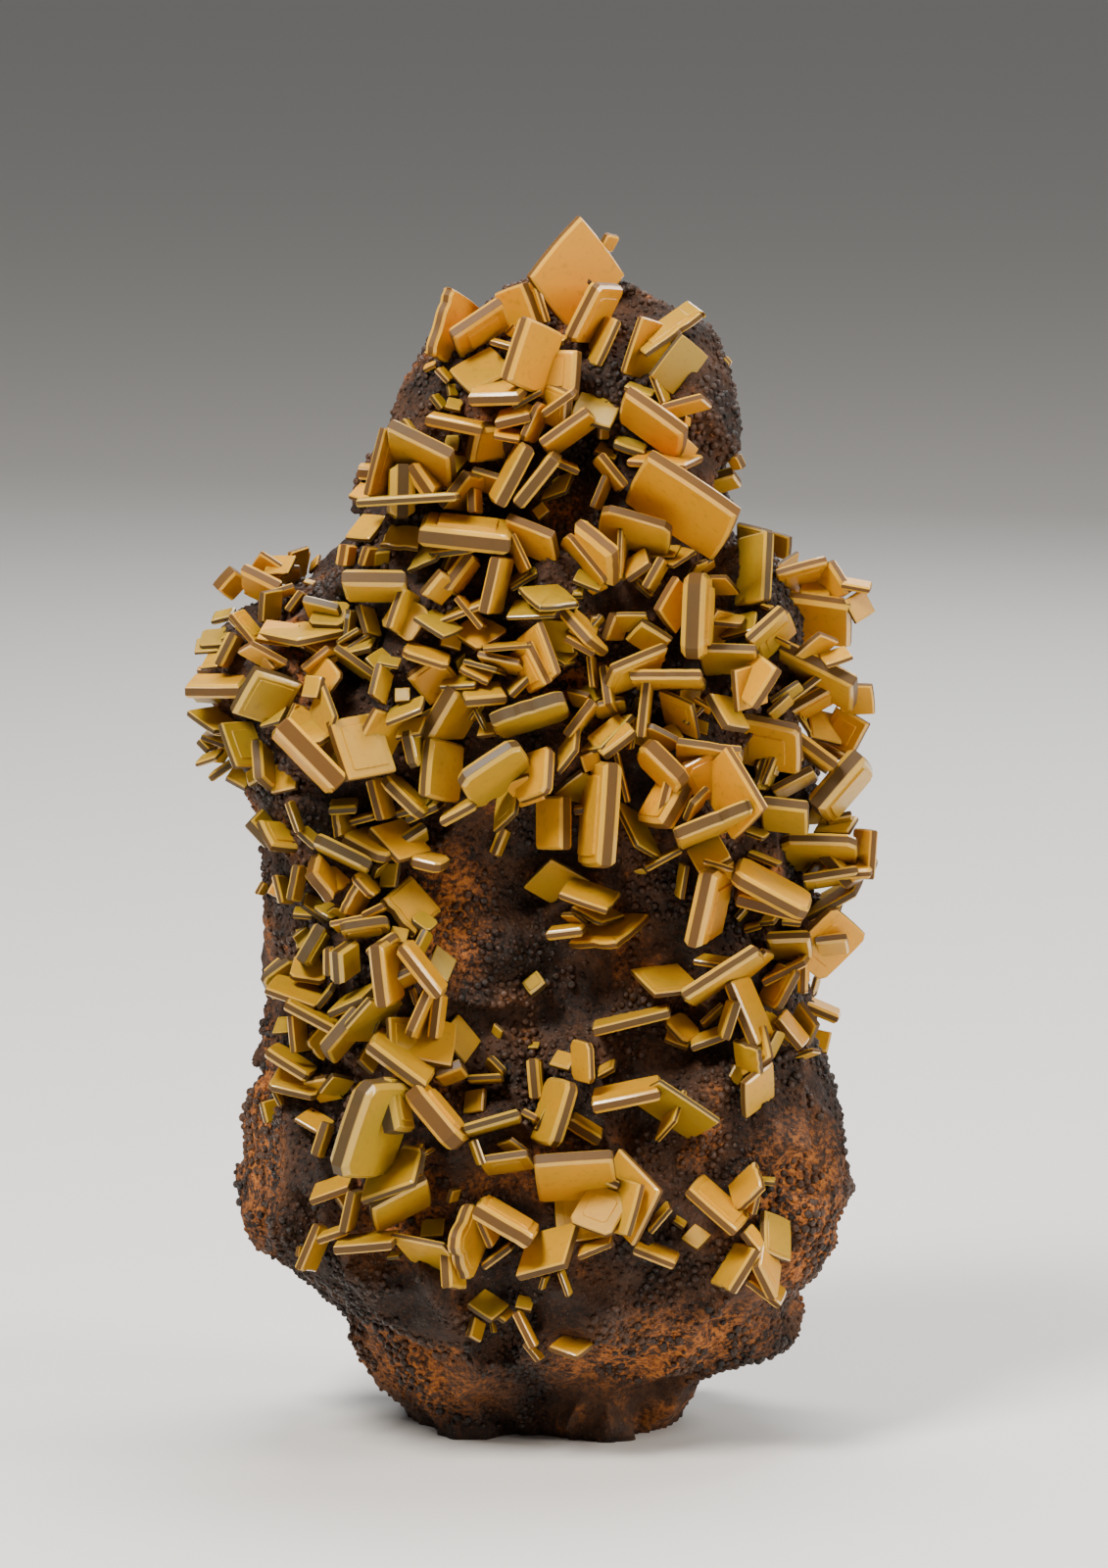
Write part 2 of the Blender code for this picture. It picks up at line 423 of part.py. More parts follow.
def build_rock(home, material):
    """The gossan: a loft through the sections with its relief, thinned to plain facets, sawn flat."""
    bm = bmesh.new()
    low, high = ROCK_SECTIONS[0][0], ROCK_SECTIONS[-1][0]
    rings = []
    for level in range(ROCK_LEVELS):
        height = low + (high - low) * level / (ROCK_LEVELS - 1)
        turns = [math.tau * i / ROCK_AROUND for i in range(ROCK_AROUND)]
        rings.append([bm.verts.new(rock_place(height, turn) * MM) for turn in turns])
    for lower, upper in zip(rings, rings[1:]):
        for i in range(ROCK_AROUND):
            j = (i + 1) % ROCK_AROUND
            bm.faces.new((lower[i], lower[j], upper[j], upper[i]))
    bm.faces.new(list(reversed(rings[0])))
    bm.faces.new(rings[-1])
    bmesh.ops.triangulate(bm, faces=bm.faces[:])
    mesh = bpy.data.meshes.new("matrix")
    bm.to_mesh(mesh)
    bm.free()
    rough = make_object("matrix_rough", mesh, home)
    thin = rough.modifiers.new("facets", "DECIMATE")
    thin.ratio = ROCK_FACES / len(mesh.polygons)
    facets = evaluated_copy(rough)
    bpy.data.objects.remove(rough)
    saw_foot(facets)
    return make_object("matrix", facets, home, material)


def evaluated_copy(obj):
    graph = bpy.context.evaluated_depsgraph_get()
    graph.update()
    return bpy.data.meshes.new_from_object(obj.evaluated_get(graph))


def saw_foot(mesh):
    """Cuts the rock off flat at z = 0 and closes the cut."""
    bm = bmesh.new()
    bm.from_mesh(mesh)
    parts = bm.verts[:] + bm.edges[:] + bm.faces[:]
    bmesh.ops.bisect_plane(bm, geom=parts, plane_co=(0, 0, 0), plane_no=(0, 0, 1), clear_inner=True)
    rim = [edge for edge in bm.edges if edge.is_boundary]
    bmesh.ops.edgeloop_fill(bm, edges=rim)
    bmesh.ops.triangulate(bm, faces=bm.faces[:])
    bmesh.ops.dissolve_degenerate(bm, dist=1e-6, edges=bm.edges[:])
    bmesh.ops.recalc_face_normals(bm, faces=bm.faces[:])
    bm.to_mesh(mesh)
    bm.free()


def eye():
    """The eye's place and its right, up and forward directions, in millimetres."""
    forward = Vector((0.0, math.cos(EYE_RISE), -math.sin(EYE_RISE)))
    up = Vector((0.0, math.sin(EYE_RISE), math.cos(EYE_RISE)))
    return EYE_TARGET - forward * EYE_DISTANCE, Vector((1.0, 0.0, 0.0)), up, forward


def sight_line(across, height):
    """The place of the eye and the direction in which a point of the sheet is seen."""
    place, right, up, forward = eye()
    aim = forward * EYE_DISTANCE + right * across + up * (height - SHEET_MIDDLE)
    return place, aim.normalized()


def plate_frame(row):
    """The plate's two sides and its outward normal, from the three corners that are seen.

    Both sides are as long and square to each other, which fixes how far each one runs back.
    """
    ax, az, bx, bz, cx, cz = row[:6]
    near = complex(bx - ax, bz - az)
    far = complex(cx - ax, cz - az)
    dot = (near * far.conjugate()).real
    root = complex(abs(near) ** 2 - abs(far) ** 2, -2.0 * dot) ** 0.5
    if root.real < 0:
        root = -root
    right, up, forward = eye()[1:]
    side = right * near.real + up * near.imag + forward * root.imag
    back = right * far.real + up * far.imag + forward * root.real
    normal = side.cross(back).normalized()
    if normal.dot(forward) > 0:
        normal = -normal
    return side, back, normal


def rock_depth(tree, across, height):
    """How far along the sight line the rock lies, or where the line passes nearest to it."""
    place, aim = sight_line(across, height)
    hit = tree.ray_cast(place * MM, aim)
    if hit[0] is not None:
        return hit[3] / MM
    reach = [EYE_DISTANCE - SEARCH_NEAR + i for i in range(SEARCH_DEEP)]
    return min(reach, key=lambda far: tree.find_nearest((place + aim * far) * MM)[3])


def plate_middle(row):
    ax, az, bx, bz, cx, cz = row[:6]
    return (bx + cx) / 2, (bz + cz) / 2


def place_plate(row, tree, standing):
    """The plate's corner points, moved back along the sight line until it is rooted."""
    side, back, normal = plate_frame(row)
    thick, layer = row[6], row[8]
    across, height = plate_middle(row)
    depth = rock_depth(tree, across, height)
    forward = eye()[3]
    deep = abs(side.dot(forward)) + abs(back.dot(forward))
    out = LAYER_BASE + LAYER_STEP * layer + DEPTH_SHARE * deep
    place, aim = sight_line(across, height)
    sunk = 0.0
    while True:
        face_middle = place + aim * (depth - out + sunk)
        points = plate_points(face_middle, side, back, normal, thick)
        if sunk >= SINK_MOST or rooted(points, tree, standing):
            return points
        sunk += SINK_STEP


def rooted(points, tree, standing):
    """Whether a plate reaches into the rock or into a plate that already stands."""
    for point in points + [sum(points, Vector()) / len(points)]:
        spot, outward, _, _ = tree.find_nearest(point * MM)
        if (point * MM - spot).dot(outward) < -ROOT_DEPTH * MM:
            return True
    body = BVHTree.FromPolygons([p * MM for p in points], plate_faces(len(points)))
    return any(body.overlap(other) for other in standing)


def plate_points(face_middle, side, back, normal, thick):
    """Rings of four corners through the plate: face, waist and back face, or just two for a box."""
    rings = []
    size = min(side.length, back.length)
    inset = min(RIM_INSET * thick, RIM_INSET_MOST * size)
    plain = max(side.length, back.length) < BOX_BELOW
    steps = [(0.0, 0.0), (-thick, 0.0)] if plain else [(0.0, inset), (-thick / 2, 0.0), (-thick, inset)]
    for depth, narrow in steps:
        half_side = side / 2 * (1 - 2 * narrow / side.length)
        half_back = back / 2 * (1 - 2 * narrow / back.length)
        middle = face_middle + normal * depth
        for a, b in ((-1, -1), (1, -1), (1, 1), (-1, 1)):
            rings.append(middle + half_side * a + half_back * b)
    return rings


def plate_faces(count):
    faces = [(0, 1, 2, 3), tuple(range(count - 1, count - 5, -1))]
    for ring in range(0, count - 4, 4):
        for i in range(4):
            j = (i + 1) % 4
            faces.append((ring + i, ring + 4 + i, ring + 4 + j, ring + j))
    return faces


def plate_mesh(points):
    bm = bmesh.new()
    corners = [bm.verts.new(point * MM) for point in points]
    for face in plate_faces(len(points)):
        bm.faces.new([corners[i] for i in face])
    bmesh.ops.triangulate(bm, faces=bm.faces[:])
    bmesh.ops.recalc_face_normals(bm, faces=bm.faces[:])
    mesh = bpy.data.meshes.new("plate")
    bm.to_mesh(mesh)
    bm.free()
    return mesh


def grown_rock(rock):
    """A copy of the rock, larger by the gap that is left between it and the crystals."""
    bm = bmesh.new()
    bm.from_mesh(rock.data)
    bm.normal_update()
    steps = [vert.normal * GAP * MM for vert in bm.verts]
    for vert, step in zip(bm.verts, steps):
        vert.co += step
    mesh = bpy.data.meshes.new("grown")
    bm.to_mesh(mesh)
    bm.free()
    return mesh


def groups_that_touch(trees):
    """Lists of plates that grow through each other."""
    group = list(range(len(trees)))

    def head(i):
        while group[i] != i:
            i = group[i]
        return i

    for i, tree in enumerate(trees):
        for j in range(i):
            if head(i) != head(j) and tree.overlap(trees[j]):
                group[head(i)] = head(j)
    lists = {}
    for i in range(len(trees)):
        lists.setdefault(head(i), []).append(i)
    return [members for _, members in sorted(lists.items())]


def joined(meshes, home, cutter):
    """One solid of all the plates of a cluster, cut clear of the rock."""
    first = make_object("first", meshes[0], home)
    others = bpy.data.collections.new("others")
    for mesh in meshes[1:]:
        others.objects.link(bpy.data.objects.new("other", mesh))
    if len(meshes) > 1:
        union = first.modifiers.new("union", "BOOLEAN")
        union.operation = "UNION"
        union.operand_type = "COLLECTION"
        union.collection = others
    clear = first.modifiers.new("clear of the rock", "BOOLEAN")
    clear.operation = "DIFFERENCE"
    clear.object = cutter
    clear.use_self = True
    mesh = evaluated_copy(first)
    for obj in list(others.objects):
        bpy.data.objects.remove(obj)
    bpy.data.collections.remove(others)
    bpy.data.objects.remove(first)
    return mesh


def bodies_of(mesh):
    """The separate closed bodies of a mesh that are large enough to keep, each with its volume."""
    for flat_angle in (FLAT_ANGLE, 0.0):
        bm = bmesh.new()
        bm.from_mesh(mesh)
        bmesh.ops.remove_doubles(bm, verts=bm.verts[:], dist=WELD * MM)
        bmesh.ops.dissolve_degenerate(bm, dist=WELD * MM, edges=bm.edges[:])
        if flat_angle:
            bmesh.ops.dissolve_limit(bm, angle_limit=flat_angle, verts=bm.verts[:], edges=bm.edges[:])
        bmesh.ops.triangulate(bm, faces=bm.faces[:])
        found = [body_mesh(bm, body) for body in islands(bm)]
        bm.free()
        if all(closed for closed, _, _ in found):
            break
    return [(volume, made) for closed, volume, made in found if closed and volume > SMALLEST_BODY]


def islands(bm):
    """The faces of each separate body, reached from one another over shared edges."""
    unseen = set(bm.faces)
    found = []
    for start in bm.faces:
        if start not in unseen:
            continue
        unseen.discard(start)
        body, search = [start], [start]
        while search:
            for edge in search.pop().edges:
                for other in edge.link_faces:
                    if other in unseen:
                        unseen.discard(other)
                        body.append(other)
                        search.append(other)
        found.append(body)
    return found


def body_mesh(bm, body):
    """One body as a mesh of its own, with whether it is closed and how large it is."""
    piece = bmesh.new()
    index = {}
    for face in body:
        for vert in face.verts:
            if vert not in index:
                index[vert] = piece.verts.new(vert.co)
        corners = [index[vert] for vert in face.verts]
        if not piece.faces.get(corners):
            piece.faces.new(corners)
    closed = all(len(edge.link_faces) == 2 for edge in piece.edges)
    volume = piece.calc_volume(signed=True) / MM**3
    made = bpy.data.meshes.new("crystals")
    piece.to_mesh(made)
    piece.free()
    return closed, volume, made


def main():
    clear_scene()
    specimen = collection("wulfenite_specimen")
    gossan = principled("gossan", GOSSAN_COLOUR, GOSSAN_ROUGHNESS)
    rock = build_rock(specimen, gossan)
    tree = BVHTree.FromPolygons(
        [vert.co for vert in rock.data.vertices], [face.vertices for face in rock.data.polygons]
    )
    grown = make_object("grown_rock", grown_rock(rock), specimen)
    rows = [(region, row) for region, rows in CRYSTALS.items() for row in rows]
    rows.sort(key=lambda pair: pair[1][8])
    standing, meshes = [], []
    for _, row in rows:
        points = place_plate(row, tree, standing)
        standing.append(BVHTree.FromPolygons([p * MM for p in points], plate_faces(len(points))))
        meshes.append(plate_mesh(points))
    found = []
    for members in groups_that_touch(standing):
        region = rows[members[0]][0]
        clusters = bodies_of(joined([meshes[i] for i in members], specimen, grown))
        found += [(volume, region, body) for volume, body in clusters]
    bpy.data.objects.remove(grown)
    found.sort(key=lambda cluster: -cluster[0])
    counts = {}
    for _, region, body in found[:MOST_CLUSTERS]:
        counts[region] = counts.get(region, 0) + 1
        name = f"{region}_crystals_{counts[region]}"
        wulfenite = principled(name, WULFENITE_COLOUR, WULFENITE_ROUGHNESS)
        make_object(name, body, specimen, wulfenite)
    print("clusters", len(found), "of which kept", len(found[:MOST_CLUSTERS]))
    triangles = {obj.name: len(obj.data.polygons) for obj in specimen.objects}
    print("triangles in all", sum(triangles.values()), "matrix", triangles["matrix"])


main()
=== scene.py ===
# %% [markdown]
# # Wulfenite on gossan
# The specimen is an upright lump of gossan, the dark rusty cap that weathering leaves over a vein of
# ore. Thick square plates of wulfenite stand on its front like roof tiles that slid together, and
# black beads and grains crust the rock between them.
# Blender could scan such a thing or sculpt it by hand. Here every plate is written down by three of its
# corners, as they are seen from the front, because a square plate can lie in only one way that shows
# those three corners so. The rest follows from the plate's own rules of growth.

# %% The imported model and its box
import math
import random
from itertools import accumulate

import bmesh
import bpy
import numpy as np
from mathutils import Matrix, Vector, noise
from mathutils.bvhtree import BVHTree


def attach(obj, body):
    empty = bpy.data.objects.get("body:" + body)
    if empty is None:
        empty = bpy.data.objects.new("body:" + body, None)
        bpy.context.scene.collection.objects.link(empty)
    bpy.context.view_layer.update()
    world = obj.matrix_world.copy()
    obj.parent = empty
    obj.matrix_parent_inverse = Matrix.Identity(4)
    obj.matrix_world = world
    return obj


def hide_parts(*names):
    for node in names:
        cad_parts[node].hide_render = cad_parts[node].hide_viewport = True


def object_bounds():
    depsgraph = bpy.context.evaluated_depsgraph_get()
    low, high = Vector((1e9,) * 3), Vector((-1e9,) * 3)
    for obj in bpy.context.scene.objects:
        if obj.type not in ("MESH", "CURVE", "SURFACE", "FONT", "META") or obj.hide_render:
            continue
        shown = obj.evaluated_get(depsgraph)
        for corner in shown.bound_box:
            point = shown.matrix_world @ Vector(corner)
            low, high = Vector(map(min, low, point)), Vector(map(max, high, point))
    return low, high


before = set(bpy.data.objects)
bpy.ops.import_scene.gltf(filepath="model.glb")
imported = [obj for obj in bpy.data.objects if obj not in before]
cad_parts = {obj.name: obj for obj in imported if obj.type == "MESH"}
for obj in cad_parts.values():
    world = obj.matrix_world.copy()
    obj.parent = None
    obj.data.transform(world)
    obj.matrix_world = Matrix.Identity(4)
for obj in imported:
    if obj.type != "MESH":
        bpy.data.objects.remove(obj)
cad_box = [list(corner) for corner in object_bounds()]
MM = 0.001
print("nodes", len(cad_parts))
print("box in mm", [[round(v / MM, 1) for v in corner] for corner in cad_box])

# %% [markdown]
# ## The eye
# The specimen was seen from a metre away, from a little above its middle, so the camera stands there.
# The sheet is an upright plane through the specimen, square to the line of sight, and a place on it, in
# millimetres, is what the plates' corners are written in. One scale turns the picture into millimetres.

# %% The camera where the eye was
EYE_DISTANCE = 1000.0
EYE_RISE = math.radians(8.0)
EYE_TARGET = Vector((0.0, 0.0, 74.3))
PICTURE_TALL = 1600
PIXELS_IN_MM = 9.0
SHEET_MIDDLE = 75.8
SENSOR_WIDTH = 36.0
NEAREST_SEEN, FARTHEST_SEEN = 0.05, 20.0
FORWARD = Vector((0.0, math.cos(EYE_RISE), -math.sin(EYE_RISE)))
UP = Vector((0.0, math.sin(EYE_RISE), math.cos(EYE_RISE)))
RIGHT = Vector((1.0, 0.0, 0.0))
EYE = EYE_TARGET - FORWARD * EYE_DISTANCE


def in_scene(name, data):
    """A new object in the scene that holds a mesh, a light or a camera."""
    obj = bpy.data.objects.new(name, data)
    bpy.context.scene.collection.objects.link(obj)
    return obj


camera = bpy.data.cameras.new("camera")
camera.sensor_width = SENSOR_WIDTH
camera.lens = SENSOR_WIDTH * EYE_DISTANCE / (PICTURE_TALL / PIXELS_IN_MM)
camera.clip_start, camera.clip_end = NEAREST_SEEN, FARTHEST_SEEN
eye = in_scene("camera", camera)
eye.location = EYE * MM
eye.rotation_euler = (math.pi / 2 - EYE_RISE, 0.0, 0.0)
bpy.context.scene.camera = eye
print("lens", round(camera.lens, 1), "mm")

# %% [markdown]
# ## Light and floor
# A studio table could be lit by a picture of a room, but four soft lamps are easier to steer: a key
# from the upper left, which makes the plates' bevels flash, a weaker one from the right, one above, and
# one behind that draws the edges. The floor is a plain pale sheet.

# %% Floor, sky and lamps
FLOOR_REACH = 12.0
SKY_COLOUR = (0.82, 0.81, 0.80, 1.0)
SKY_STRENGTH = 0.22
LAMPS_AIM = Vector((0.0, 0.0, 0.07))


def lamp(name, place, width, height, watts, colour):
    """A soft rectangular lamp that shines on the specimen."""
    light = bpy.data.lights.new(name, "AREA")
    light.shape = "RECTANGLE"
    light.size, light.size_y = width, height
    light.energy = watts
    light.color = colour
    obj = in_scene(name, light)
    obj.location = place
    obj.rotation_euler = (LAMPS_AIM - Vector(place)).to_track_quat("-Z", "Y").to_euler()


lamp("key", (-0.30, -0.42, 0.66), 0.22, 0.22, 11.0, (1.0, 0.95, 0.88))
lamp("side", (0.60, -0.22, 0.36), 0.20, 0.40, 4.5, (1.0, 0.94, 0.86))
lamp("top", (0.05, 0.15, 0.70), 0.40, 0.20, 5.0, (1.0, 0.97, 0.94))
lamp("behind", (0.25, 0.65, 0.45), 0.60, 0.40, 3.0, (0.93, 0.96, 1.0))

world = bpy.data.worlds.new("studio")
world.use_nodes = True
sky = world.node_tree.nodes["Background"].inputs
sky["Color"].default_value = SKY_COLOUR
sky["Strength"].default_value = SKY_STRENGTH
bpy.context.scene.world = world

bm = bmesh.new()
bmesh.ops.create_grid(bm, x_segments=1, y_segments=1, size=FLOOR_REACH)
floor_mesh = bpy.data.meshes.new("floor")
bm.to_mesh(floor_mesh)
bm.free()
floor = in_scene("floor", floor_mesh)
print("lamps", len(bpy.data.lights), "floor", 2 * FLOOR_REACH, "m wide")

# %% [markdown]
# ## Shader maths as Python
# A material is a net of nodes. A number that changes over a surface is a socket, so one small class
# wraps a socket and lets it be added, multiplied or turned round as in any formula, and each step adds
# its Math node. Colours never go through a Math node, which would turn them grey: they are mixed.

# %% A number of the shader, and one way to add any node


class Number:
    """A shader number that changes over the surface."""

    def __init__(self, surface, socket):
        self.surface, self.socket = surface, socket

    def maths(self, operation, *values):
        made = self.surface.node("Math", {"operation": operation}, dict(enumerate(values)))
        return Number(self.surface, made.outputs[0])

    def __add__(self, other):
        return self.maths("ADD", self, other)

    def __sub__(self, other):
        return self.maths("SUBTRACT", self, other)

    def __mul__(self, other):
        return self.maths("MULTIPLY", self, other)

    def __rsub__(self, other):
        return self.maths("SUBTRACT", other, self)

    __radd__ = __add__
    __rmul__ = __mul__

    def at_least(self, other):
        return self.maths("MAXIMUM", self, other)

    def at_most(self, other):
        return self.maths("MINIMUM", self, other)

    def above(self, edge, soft):
        """0 below the edge, 1 above it, with a soft step of that width between."""
        settings = {"interpolation_type": "SMOOTHSTEP"}
        sockets = {"Value": self, "From Min": edge - soft / 2, "From Max": edge + soft / 2}
        return Number(self.surface, self.surface.node("MapRange", settings, sockets).outputs[0])


def plug(tree, socket, value):
    """Links a socket to another, or sets its value. A colour may leave out its alpha."""
    if isinstance(value, Number):
        value = value.socket
    if isinstance(value, bpy.types.NodeSocket):
        tree.links.new(value, socket)
    elif isinstance(value, tuple) and len(value) == 3 and len(socket.default_value) == 4:
        socket.default_value = (*value, 1.0)
    else:
        socket.default_value = value


def add_node(tree, kind, settings=None, sockets=None):
    """A node of a kind, with its settings first and then the values or links of its sockets."""
    made = tree.nodes.new(kind)
    for key, value in (settings or {}).items():
        setattr(made, key, value)
    for key, value in (sockets or {}).items():
        plug(tree, made.inputs[key], value)
    return made


# %% A material and the patterns it can read


class Surface:
    """A material with its Principled shader and the ways to add nodes to it."""

    def __init__(self, name):
        self.material = bpy.data.materials.new(name)
        self.material.use_nodes = True
        self.tree = self.material.node_tree
        self.shader = self.tree.nodes["Principled BSDF"]
        self.place = self.node("TexCoord").outputs["Object"]

    def node(self, kind, settings=None, sockets=None):
        return add_node(self.tree, "ShaderNode" + kind, settings, sockets)

    def grain(self, per_mm, detail=3.0, rough=0.55, place=None):
        """Noise from 0 to 1 with that many waves in a millimetre."""
        sockets = {"Vector": place or self.place, "Scale": per_mm / MM, "Detail": detail, "Roughness": rough}
        return Number(self, self.node("TexNoise", {}, sockets).outputs["Fac"])

    def cells(self, per_mm):
        """Distance to the nearest of points strewn that many to a millimetre."""
        sockets = {"Vector": self.place, "Scale": per_mm / MM}
        return Number(self, self.node("TexVoronoi", {}, sockets).outputs["Distance"])

    def mix(self, share, one, other):
        """A colour between two, by a share from 0 to 1."""
        made = self.node("Mix", {"data_type": "RGBA"}, {0: share, 6: one, 7: other})
        return made.outputs[2]

    def near(self, middle, reach):
        """1 at a place given in millimetres, falling to 0 at its reach."""
        spot = tuple(m * MM for m in middle)
        scale = tuple(1.0 / (r * MM) for r in reach)
        moved = self.node("VectorMath", {"operation": "SUBTRACT"}, {0: self.place, 1: spot}).outputs[0]
        scaled = self.node("VectorMath", {"operation": "MULTIPLY"}, {0: moved, 1: scale}).outputs[0]
        far = self.node("VectorMath", {"operation": "LENGTH"}, {0: scaled}).outputs["Value"]
        return 1.0 - Number(self, far).above(0.5, 1.0)

    def bump(self, height, depth_mm):
        """A shader normal raised by a height from 0 to 1, whose full step is that many millimetres."""
        sockets = {"Strength": 1.0, "Distance": depth_mm * MM, "Height": height}
        return self.node("Bump", {}, sockets).outputs["Normal"]

    def set(self, **values):
        """Sockets of the shader, written with _ for each space of their names."""
        for key, value in values.items():
            plug(self.tree, self.shader.inputs[key.replace("_", " ")], value)
        return self.material


floor.data.materials.append(Surface("pale_paper").set(Base_Color=(0.72, 0.71, 0.69), Roughness=0.8))
print("the floor wears", floor.data.materials[0].name)

# %% [markdown]
# ## The plates, one by one
# Each row is one crystal: the sheet places of the two ends of its nearest side and of the corner behind
# the first, its thickness, how warm its colour is, from khaki at 0 to orange at 1, and its layer, which
# counts how many plates lie between it and the rock. They were read one by one off the specimen's front.
# Strewing them by a rule would be shorter, but each crystal of a real specimen stands in its own way.

